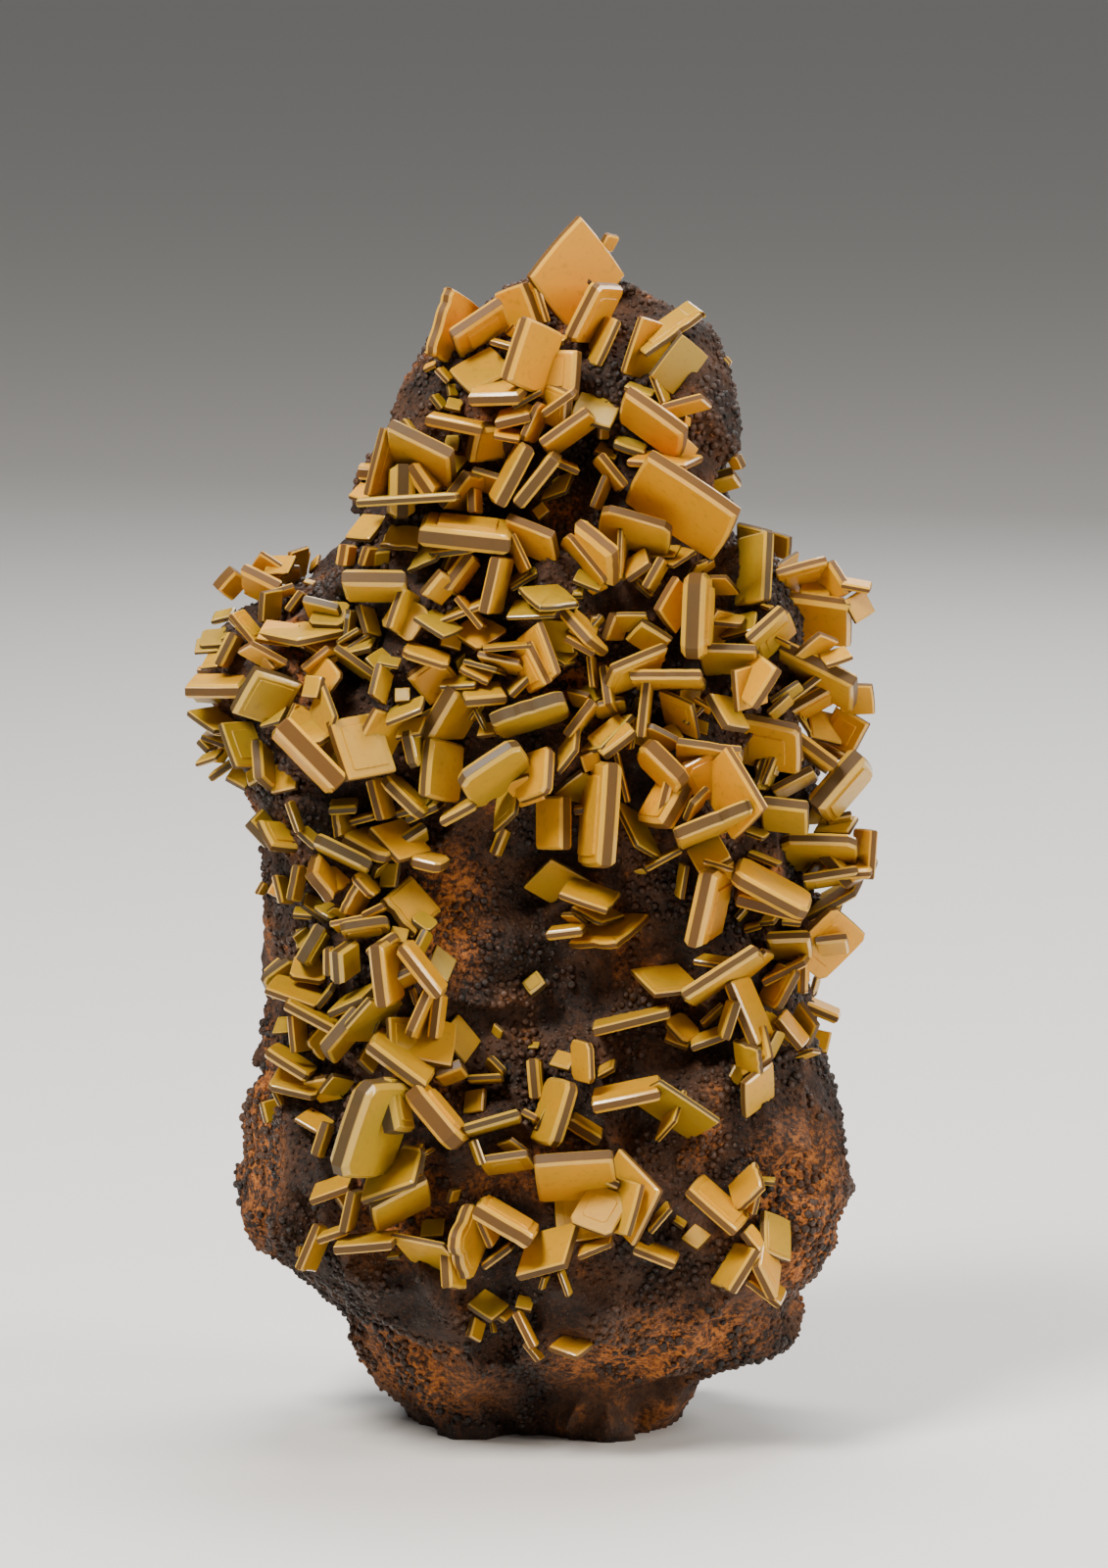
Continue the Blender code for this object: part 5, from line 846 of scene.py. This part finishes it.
def outline(half, rng, steps, bitten):
    """Points round a square of that half width: sides bulge, corners are cut, some sides are eaten."""
    cut = rng.uniform(*CUT)
    if rng.random() < DEEP_CUT_SHARE:
        cut = rng.uniform(*DEEP_CUT)
    bulge = rng.uniform(0.0, BULGE)
    points = []
    for quarter in range(4):
        seed = rng.uniform(0, SEEDS)
        eaten = bitten and rng.random() < EATEN_SIDES
        for k in range(steps + 1):
            a = (1 - cut) * (2 * k / steps - 1)
            out = 1 + bulge * (0.5 - a * a) + WAVE * noise.noise(Vector((seed, a * WAVE_RATE, 0)))
            if eaten:
                bite = noise.noise(Vector((seed, a * BITE_RATE, BITE_SLICE))) + BITE_BIAS
                out -= BITE * max(0.0, bite) + BITE_JAG * rng.random()
            x, y = a, -out
            for _ in range(quarter):
                x, y = -y, x
            points.append((x * half, y * half))
    return points


print("an outline has", len(outline(1.0, random.Random(0), SIDE_STEPS, False)), "points")

# %% Rings of a crystal
FINE_INSET, FINE_INSET_MOST = 0.2, 0.09
INSET_VARIES = (0.8, 1.3)
EASE = 0.02
TERRACED_OVER, TERRACED_SHARE = 4.0, 0.25
TERRACE_DEPTH, TERRACE_EDGE, TERRACE_WALL = (0.06, 0.16), (0.55, 0.82), 0.025
BEVEL_DEPTH, BAND_WALL, WAIST = (0.12, 0.27), 0.05, 0.05
FACE_HEART, BACK_HEART = 0.3, 0.5


def crystal_rings(thick, inset, rng, terraced):
    """Rings from the front face's middle over the rim to the back's: share of the outline, inset, depth,
    and how much of the rim's flat band and of its bevels each ring shows."""
    ease = EASE * thick
    step = rng.uniform(*TERRACE_DEPTH) * thick if terraced else 0.0
    edge = rng.uniform(*TERRACE_EDGE)
    bevel = rng.uniform(*BEVEL_DEPTH)
    waist = WAIST * thick
    return [
        (FACE_HEART, 0.0, -step, 0, 0),
        (edge, 0.0, -step, 0, 0),
        (edge + TERRACE_WALL, 0.0, 0.0, 0, 0),
        (1.0, inset + 3.0 * ease, 0.0, 0, 0),
        (1.0, inset + ease, 0.0, 0, 0),
        (1.0, inset - ease, 1.2 * ease, 0, 1),
        (1.0, waist, bevel * thick, 0, 1),
        (1.0, 0.0, (bevel + BAND_WALL) * thick, 1, 0),
        (1.0, 0.0, (1 - BAND_WALL - bevel) * thick, 1, 0),
        (1.0, waist, (1 - bevel) * thick, 0, 1),
        (1.0, inset - ease, thick - 1.2 * ease, 0, 1),
        (1.0, inset + ease, thick, 0, 0),
        (BACK_HEART, 0.0, thick, 0, 0),
    ]


print("a crystal has", len(crystal_rings(1.0, 0.1, random.Random(0), True)), "rings")

# %% A place inside the solids' box
BOX_LOW, BOX_HIGH = (Vector(corner) / MM for corner in cad_box)


def kept_inside(points):
    """The points moved together, as far as it takes to lie inside the solids' box."""
    move = Vector()
    for axis in range(3):
        reach = [point[axis] for point in points]
        move[axis] = max(0.0, BOX_LOW[axis] - min(reach)) + min(0.0, BOX_HIGH[axis] - max(reach))
    return [point + move for point in points]


print("a point far to the left moves to", round(kept_inside([Vector((-99, 0, 9))])[0].x, 1))

# %% One crystal added to its region's mesh
TERRACE_SHIFT = 0.08
CRISP_ANGLE = math.radians(24)


class Growth:
    """The points, faces and attributes of one region's crystals."""

    def __init__(self):
        self.points, self.faces, self.rim, self.look, self.vary = [], [], [], [], []

    def add(self, plate, rng):
        """Lofts one crystal through its rings, after its random traits are drawn in a fixed order."""
        middle, side, back, normal, thick, warmth = plate
        size = side.length
        steps = LARGE_SIDE_STEPS if size > LARGE_PLATE else SIDE_STEPS
        shape = outline(size / 2, rng, steps, rng.random() < EATEN_PLATES)
        inset = min(FINE_INSET * thick, FINE_INSET_MOST * size) * rng.uniform(*INSET_VARIES)
        terraced = size > TERRACED_OVER and rng.random() < TERRACED_SHARE
        rings = crystal_rings(thick, inset, rng, terraced)
        shift = [rng.uniform(-TERRACE_SHIFT, TERRACE_SHIFT) * size for _ in range(2)]
        vary = rng.random()
        across, along = side.normalized(), back.normalized()
        start = len(self.points)
        placed = []
        for share, narrow, depth, band, bevel in rings:
            scale = share * (1 - narrow / (size / 2))
            drift = 1 - share
            for x, y in shape:
                x, y = x * scale + shift[0] * drift, y * scale + shift[1] * drift
                placed.append(middle + across * x + along * y - normal * depth)
                self.look.append((warmth, band, bevel, 1.0))
                self.vary.append(vary)
        self.points += [place * MM for place in kept_inside(placed)]
        self.skin(start, shape, rings, across.cross(along).dot(normal) < 0)

    def skin(self, start, shape, rings, turned):
        """The crystal's faces, and on each its places round the outline and over the rim."""
        count = len(shape)
        round_it = list(accumulate(map(math.dist, shape, shape[1:] + shape[:1]), initial=0.0))
        over_it = [0.0]
        for one, other in zip(rings, rings[1:]):
            over_it.append(over_it[-1] + math.hypot(other[1] - one[1], other[2] - one[2]))
        for r in range(len(rings) - 1):
            for i in range(count):
                corners = [(r, i), (r, i + 1), (r + 1, i + 1), (r + 1, i)]
                face = [start + ring * count + k % count for ring, k in corners]
                self.face(face, [(round_it[k], over_it[ring]) for ring, k in corners], not turned)
        for ring, upward in ((0, True), (len(rings) - 1, False)):
            cap = [start + ring * count + i for i in range(count)]
            self.face(cap, [(round_it[i], over_it[ring]) for i in range(count)], upward == turned)

    def face(self, corners, spots, backwards):
        """One face and its corners' places on the rim's map."""
        if backwards:
            corners.reverse()
            spots.reverse()
        self.faces.append(corners)
        self.rim.append(spots)

    def mesh(self, name):
        mesh = bpy.data.meshes.new(name)
        mesh.from_pydata(self.points, [], self.faces)
        flat = [value * MM for face in self.rim for spot in face for value in spot]
        mesh.uv_layers.new(name="rim").data.foreach_set("uv", flat)
        look = mesh.attributes.new("look", "FLOAT_COLOR", "POINT")
        look.data.foreach_set("color", [value for colour in self.look for value in colour])
        mesh.attributes.new("vary", "FLOAT", "POINT").data.foreach_set("value", self.vary)
        mesh.shade_smooth()
        mesh.set_sharp_from_angle(angle=CRISP_ANGLE)
        return mesh


print("edges over", round(math.degrees(CRISP_ANGLE)), "degrees stay crisp")

# %% [markdown]
# ## Crystal paint
# Wulfenite is translucent and very glossy. Its faces run from khaki to warm orange, the bevels look
# paler because they catch the light, and the flat band between them is browner. Real absorption could
# do this, but is slow to render and blind to the stripes, so the colours are mixed by the attributes,
# and the bevels' paleness is a painted highlight.
# Subsurface scattering lets light sink a little way in, and fine growth lines score the bevels.

# %% The wulfenite material
KHAKI, PALE_KHAKI, ORANGE = (0.33, 0.200, 0.008), (0.37, 0.240, 0.022), (0.62, 0.270, 0.001)
DARK_FLECK = (0.20, 0.11, 0.02)
OLIVE_BAND, BROWN_BAND = (0.048, 0.029, 0.011), (0.10, 0.043, 0.007)
BEVEL_HIGHLIGHT_YELLOW = (0.68, 0.44, 0.07)
CLOUDS_IN_MM, FLECKS_IN_MM, SCORES_IN_MM, SWELLS_IN_MM = 0.16, 1.3, 3.5, 0.5
SCORING_STRETCH = (1.0, 0.12, 1.0)
CRYSTAL_RELIEF = 0.05


def wulfenite_paint():
    paint = Surface("wulfenite")
    look = paint.node("Attribute", {"attribute_name": "look"})
    parts = paint.node("SeparateColor", {}, {0: look.outputs["Color"]})
    warmth, band, bevel = (Number(paint, parts.outputs[i]) for i in range(3))
    vary = Number(paint, paint.node("Attribute", {"attribute_name": "vary"}).outputs["Fac"])
    cloud = paint.grain(CLOUDS_IN_MM, 2.0)
    fine = paint.grain(FLECKS_IN_MM, 4.0)
    warm = warmth + (vary - 0.5) * 0.2 + (cloud - 0.5) * 0.5
    body = paint.mix(warm.above(0.62, 0.75), paint.mix(vary, KHAKI, PALE_KHAKI), ORANGE)
    body = paint.mix(fine.above(0.64, 0.2) * 0.35, body, DARK_FLECK)
    body = paint.mix(band * 0.95, body, paint.mix(warm.above(0.6, 0.8), OLIVE_BAND, BROWN_BAND))
    # Painted highlight: the bevels are mixed toward a pale yellow, as if they caught the light.
    body = paint.mix(bevel * 0.4, body, BEVEL_HIGHLIGHT_YELLOW)
    rim = paint.node("UVMap", {"uv_map": "rim"}).outputs[0]
    stretched = paint.node("Mapping", {}, {"Vector": rim, "Scale": SCORING_STRETCH}).outputs[0]
    scoring = paint.grain(SCORES_IN_MM, 3.0, 0.6, stretched)
    swells = paint.grain(SWELLS_IN_MM, 2.0)
    height = scoring * bevel * 0.6 + swells * 0.6 + fine * 0.10
    return paint.set(
        Base_Color=body,
        Roughness=0.34 + fine * 0.16 - bevel * 0.2 + band * 0.14,
        IOR=1.55,
        Specular_IOR_Level=0.22,
        Coat_Weight=0.05 + bevel * 0.6,
        Coat_Roughness=0.14,
        Subsurface_Weight=0.4,
        Subsurface_Radius=(1.0, 0.5, 0.08),
        Subsurface_Scale=0.0006,
        Normal=paint.bump(height, CRYSTAL_RELIEF),
    )


wulfenite = wulfenite_paint()
print("wulfenite has", len(wulfenite.node_tree.nodes), "nodes")

# %% [markdown]
# ## The clusters
# On the specimen the plates grow through each other in clusters. Each crystal could be an object of its
# own, but hundreds of objects are slow to handle, so the crystals of one region are joined in one mesh.
# It stands for that region's solids, and holds the crystals that have no solid as well.

# %% Grow every region and finish it as a piece
GROWTH_SEED = 41


def finish_piece(name, mesh, material, nodes=()):
    """Makes the piece at the origin, gives it its paint and lets it ride with the specimen."""
    mesh.materials.clear()
    mesh.materials.append(material)
    piece = in_scene(name, mesh)
    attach(piece, "root")
    if nodes:
        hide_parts(*nodes)
    mesh.calc_loop_triangles()
    print(name, len(mesh.loop_triangles), "triangles")


rng = random.Random(GROWTH_SEED)
growths = {}
for region, plate in plates:
    growths.setdefault(region, Growth()).add(plate, rng)
for region, growth in growths.items():
    nodes = [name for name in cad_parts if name.startswith(region + "_crystals_")]
    finish_piece(region + "_wulfenite", growth.mesh(region), wulfenite, nodes)

# %% [markdown]
# ## The rock
# Gossan is a spongy crust of iron oxides. The solid gives its lumps, ledges and pits, and a fine even
# mesh over a copy of it takes the smaller relief: knobs of a millimetre or so, and grain between them.
# A bump map could show them too, but not where they break the outline.

# %% A fine mesh over the rock
ROCK_PITCH = 0.66
MERGE_REACH = 1e-6
KNOB_REACH, KNOB_RELIEF = 2.6, 0.55
KNOB_LEAST, KNOB_VARIES = 0.6, 0.8
GRAIN_REACH, GRAIN_RELIEF = 0.9, 0.22
PATCH_REACH = 7.0
FOOT_KEPT = 0.4
ROCK_SUNK = 0.3


def fine_rock():
    """A mesh of even faces over the solid, whose loose triangles are merged first."""
    bm = bmesh.new()
    bm.from_mesh(rock_node.data)
    bmesh.ops.remove_doubles(bm, verts=bm.verts[:], dist=MERGE_REACH)
    mesh = bpy.data.meshes.new("rock")
    bm.to_mesh(mesh)
    bm.free()
    obj = in_scene("rock", mesh)
    even = obj.modifiers.new("even", "REMESH")
    even.mode = "VOXEL"
    even.voxel_size = ROCK_PITCH * MM
    graph = bpy.context.evaluated_depsgraph_get()
    made = bpy.data.meshes.new_from_object(obj.evaluated_get(graph))
    bpy.data.objects.remove(obj)
    return made


def vectors(items, key):
    """One kind of vector of all the points of a mesh, as rows of an array."""
    flat = np.empty(len(items) * 3, np.float32)
    items.foreach_get(key, flat)
    return flat.reshape(-1, 3)


def roughen(mesh):
    """Moves each point along its normal by knobs and grain, but keeps the sawn foot flat."""
    places = vectors(mesh.vertices, "co")
    normals = vectors(mesh.vertices, "normal")
    for i, spot in enumerate(places / MM):
        if spot[2] < FOOT_KEPT:
            places[i][2] = 0.0
            continue
        place = Vector(spot)
        nearest = noise.voronoi(place / KNOB_REACH)[0]
        swell = KNOB_LEAST + KNOB_VARIES * noise.noise(place / PATCH_REACH)
        knob = (nearest[1] - nearest[0]) * KNOB_RELIEF * swell
        grain = noise.noise(place / GRAIN_REACH) * GRAIN_RELIEF
        places[i] += normals[i] * (knob + grain - ROCK_SUNK) * MM
        places[i][2] = max(places[i][2], 0.0)
    mesh.vertices.foreach_set("co", places.ravel())
    mesh.update()
    mesh.shade_smooth()


rock = fine_rock()
roughen(rock)
print("the fine rock has", len(rock.vertices), "points")

# %% [markdown]
# ## Gossan paint
# The ironstone is nearly black, with brown grit, grey crumbs and bright rust where its broken inside
# shows. One noise could tint it all, but the rust lies in known places, so a few soft patches say where,
# and noise breaks them up. The beads wear the same paint, darker, glossier and without rust.

# %% The gossan material
IRONSTONE_BLACK, BEAD_BLACK = (0.013, 0.0075, 0.0055), (0.006, 0.005, 0.0045)
BROWN_GRIT, GREY_CRUMB, TAN_PATCH = (0.048, 0.020, 0.010), (0.034, 0.025, 0.021), (0.11, 0.045, 0.018)
RED_RUST, BRIGHT_RUST = (0.26, 0.075, 0.013), (0.46, 0.16, 0.026)
PAINTED_GLINT_GREY = (0.26, 0.23, 0.21)
PATCHES_IN_MM, GRIT_IN_MM, CRUMBS_IN_MM, DOTS_IN_MM = 0.12, 1.6, 0.55, 1.9
ROCK_RELIEF = 0.35
RUSTY_PLACES = [
    ((-12.0, -18.0, 62.0), (7.0, 20.0, 12.0)),
    ((-17.0, -18.0, 30.0), (8.0, 20.0, 9.0)),
    ((27.0, -14.0, 27.0), (9.0, 20.0, 16.0)),
    ((13.0, -16.0, 11.0), (20.0, 14.0, 11.0)),
    ((-18.0, -10.0, 8.0), (16.0, 16.0, 9.0)),
    ((-34.0, -8.0, 34.0), (5.0, 20.0, 22.0)),
    ((0.0, -12.0, 88.0), (9.0, 12.0, 7.0)),
]


def gossan_paint(name, dark, roughness, rusty):
    paint = Surface(name)
    patch = paint.grain(PATCHES_IN_MM, 4.0)
    grit = paint.grain(GRIT_IN_MM, 5.0, 0.65)
    crumbs = paint.grain(CRUMBS_IN_MM, 4.0, 0.7)
    dots = paint.cells(DOTS_IN_MM)
    body = paint.mix(grit.above(0.55, 0.3), dark, BROWN_GRIT)
    body = paint.mix(crumbs.above(0.56, 0.1) * 0.6, body, GREY_CRUMB)
    body = paint.mix(patch.above(0.52, 0.2) * grit, body, TAN_PATCH)
    if rusty:
        rust = patch.above(0.62, 0.1) * 0.6
        for middle, reach in RUSTY_PLACES:
            rust = rust.at_least(paint.near(middle, reach) * 1.4)
        rust = (rust * (grit * 0.5 + crumbs * 0.5).above(0.50, 0.12)).at_most(1.0)
        body = paint.mix(rust * 0.85, body, RED_RUST)
        body = paint.mix((rust * dots.above(0.5, 0.25)).at_most(1.0) * 0.7, body, BRIGHT_RUST)
    # Painted glints: pale grey specks are mixed into the colour at the cells' middles, and the roughness
    # drops there too.
    glint = (1.0 - dots).above(0.88, 0.05)
    body = paint.mix(glint * 0.35, body, PAINTED_GLINT_GREY)
    return paint.set(
        Base_Color=body,
        Roughness=roughness - glint * 0.35,
        Specular_IOR_Level=0.3,
        Normal=paint.bump(grit * 0.6 + crumbs * 0.6 + dots * 0.4, ROCK_RELIEF),
    )


gossan = gossan_paint("gossan", IRONSTONE_BLACK, 0.8, True)
finish_piece("gossan_matrix", rock, gossan, ["matrix"])

# %% [markdown]
# ## Beads and grains
# Black beads of manganese oxide sit on the rock, and sharp grains fill the places between. They could
# be scattered in Python, but Geometry Nodes do just this: points strewn over a surface, a shape on each,
# and everything made real at the end.

# %% A tree that strews a shape over the rock
BEAD_FOOT = 1.5
MOST_DENSE = 3.0e6
TREE_SIZES = ("Pitch", "Least", "Most", "Patch", "Cover", "Squash", "Front", "Back")


def strewing_tree(name, material, segments, rings):
    tree = bpy.data.node_groups.new(name, "GeometryNodeTree")
    face = tree.interface
    face.new_socket("Rock", in_out="INPUT", socket_type="NodeSocketGeometry")
    for title in TREE_SIZES:
        face.new_socket(title, in_out="INPUT", socket_type="NodeSocketFloat")
    face.new_socket("Seed", in_out="INPUT", socket_type="NodeSocketInt")
    face.new_socket("Strewn", in_out="OUTPUT", socket_type="NodeSocketGeometry")

    def node(kind, settings=None, sockets=None):
        return add_node(tree, kind, settings, sockets)

    given = node("NodeGroupInput").outputs
    place = node("GeometryNodeInputPosition").outputs[0]
    texture = {"Vector": place, "Scale": given["Patch"], "Detail": 2.0}
    cloud = node("ShaderNodeTexNoise", {}, texture).outputs["Fac"]
    axes = node("ShaderNodeSeparateXYZ", {}, {0: place}).outputs
    limits = (("LESS_THAN", cloud, given["Cover"]), ("GREATER_THAN", axes["Z"], BEAD_FOOT * MM),
              ("GREATER_THAN", axes["Y"], given["Front"]), ("LESS_THAN", axes["Y"], given["Back"]))
    chosen = True
    for operation, value, limit in limits:
        inside = node("FunctionNodeCompare", {"operation": operation}, {0: value, 1: limit}).outputs[0]
        both = {0: chosen, 1: inside}
        chosen = node("FunctionNodeBooleanMath", {"operation": "AND"}, both).outputs[0]
    strew = node("GeometryNodeDistributePointsOnFaces", {"distribute_method": "POISSON"},
                 {"Mesh": given["Rock"], "Selection": chosen, "Distance Min": given["Pitch"],
                  "Density Max": MOST_DENSE, "Seed": given["Seed"]})
    ball = {"Radius": 1.0, "Segments": segments, "Rings": rings}
    shape = node("GeometryNodeMeshUVSphere", {}, ball)
    sizes = {2: given["Least"], 3: given["Most"], "Seed": given["Seed"]}
    size = node("FunctionNodeRandomValue", {"data_type": "FLOAT"}, sizes).outputs[1]
    tall = node("ShaderNodeMath", {"operation": "MULTIPLY"}, {0: size, 1: given["Squash"]}).outputs[0]
    scale = node("ShaderNodeCombineXYZ", {}, {0: size, 1: size, 2: tall}).outputs[0]
    placed = node("GeometryNodeInstanceOnPoints", {},
                  {"Points": strew.outputs["Points"], "Instance": shape.outputs["Mesh"],
                   "Rotation": strew.outputs["Rotation"], "Scale": scale})
    real = node("GeometryNodeRealizeInstances", {}, {0: placed.outputs[0]})
    smooth = node("GeometryNodeSetShadeSmooth", {}, {0: real.outputs[0]})
    painted = node("GeometryNodeSetMaterial", {}, {0: smooth.outputs[0], "Material": material})
    node("NodeGroupOutput", {}, {0: painted.outputs[0]})
    return tree


def strew_over(name, material, segments, rings, sizes):
    """Runs the tree over the rock and returns what it made as a plain mesh."""
    tree = strewing_tree(name, material, segments, rings)
    carrier = in_scene(name, rock)
    modifier = carrier.modifiers.new(name, "NODES")
    modifier.node_group = tree
    for socket in tree.interface.items_tree:
        if socket.name in sizes:
            modifier[socket.identifier] = sizes[socket.name]
    graph = bpy.context.evaluated_depsgraph_get()
    made = bpy.data.meshes.new_from_object(carrier.evaluated_get(graph))
    bpy.data.objects.remove(carrier)
    return made


# %% Strew the beads, and finer grains in front than behind
bead_paint = gossan_paint("manganese_beads", BEAD_BLACK, 0.42, False)
BEAD = dict(Pitch=0.86 * MM, Least=0.28 * MM, Most=0.62 * MM, Patch=150.0, Cover=0.49, Squash=0.95)
GRAIN = dict(Pitch=0.76 * MM, Least=0.14 * MM, Most=0.42 * MM, Patch=90.0, Cover=0.56, Squash=0.8)
BACK_GRAIN = {**GRAIN, "Pitch": 1.1 * MM, "Least": 0.2 * MM, "Most": 0.55 * MM}
BEYOND, BEADS_END, FINE_END = 50 * MM, 2 * MM, 6 * MM
# Each piece: its paint, the segments and rings of its balls, and what the tree is given
STREWN = [
    ("black_beads", bead_paint, 7, 4, {**BEAD, "Front": -BEYOND, "Back": BEADS_END, "Seed": 3}),
    ("front_grains", gossan, 5, 3, {**GRAIN, "Front": -BEYOND, "Back": FINE_END, "Seed": 8}),
    ("back_grains", gossan, 5, 3, {**BACK_GRAIN, "Front": FINE_END, "Back": BEYOND, "Seed": 9}),
]
for name, material, segments, rings, sizes in STREWN:
    finish_piece(name, strew_over(name, material, segments, rings, sizes), material)
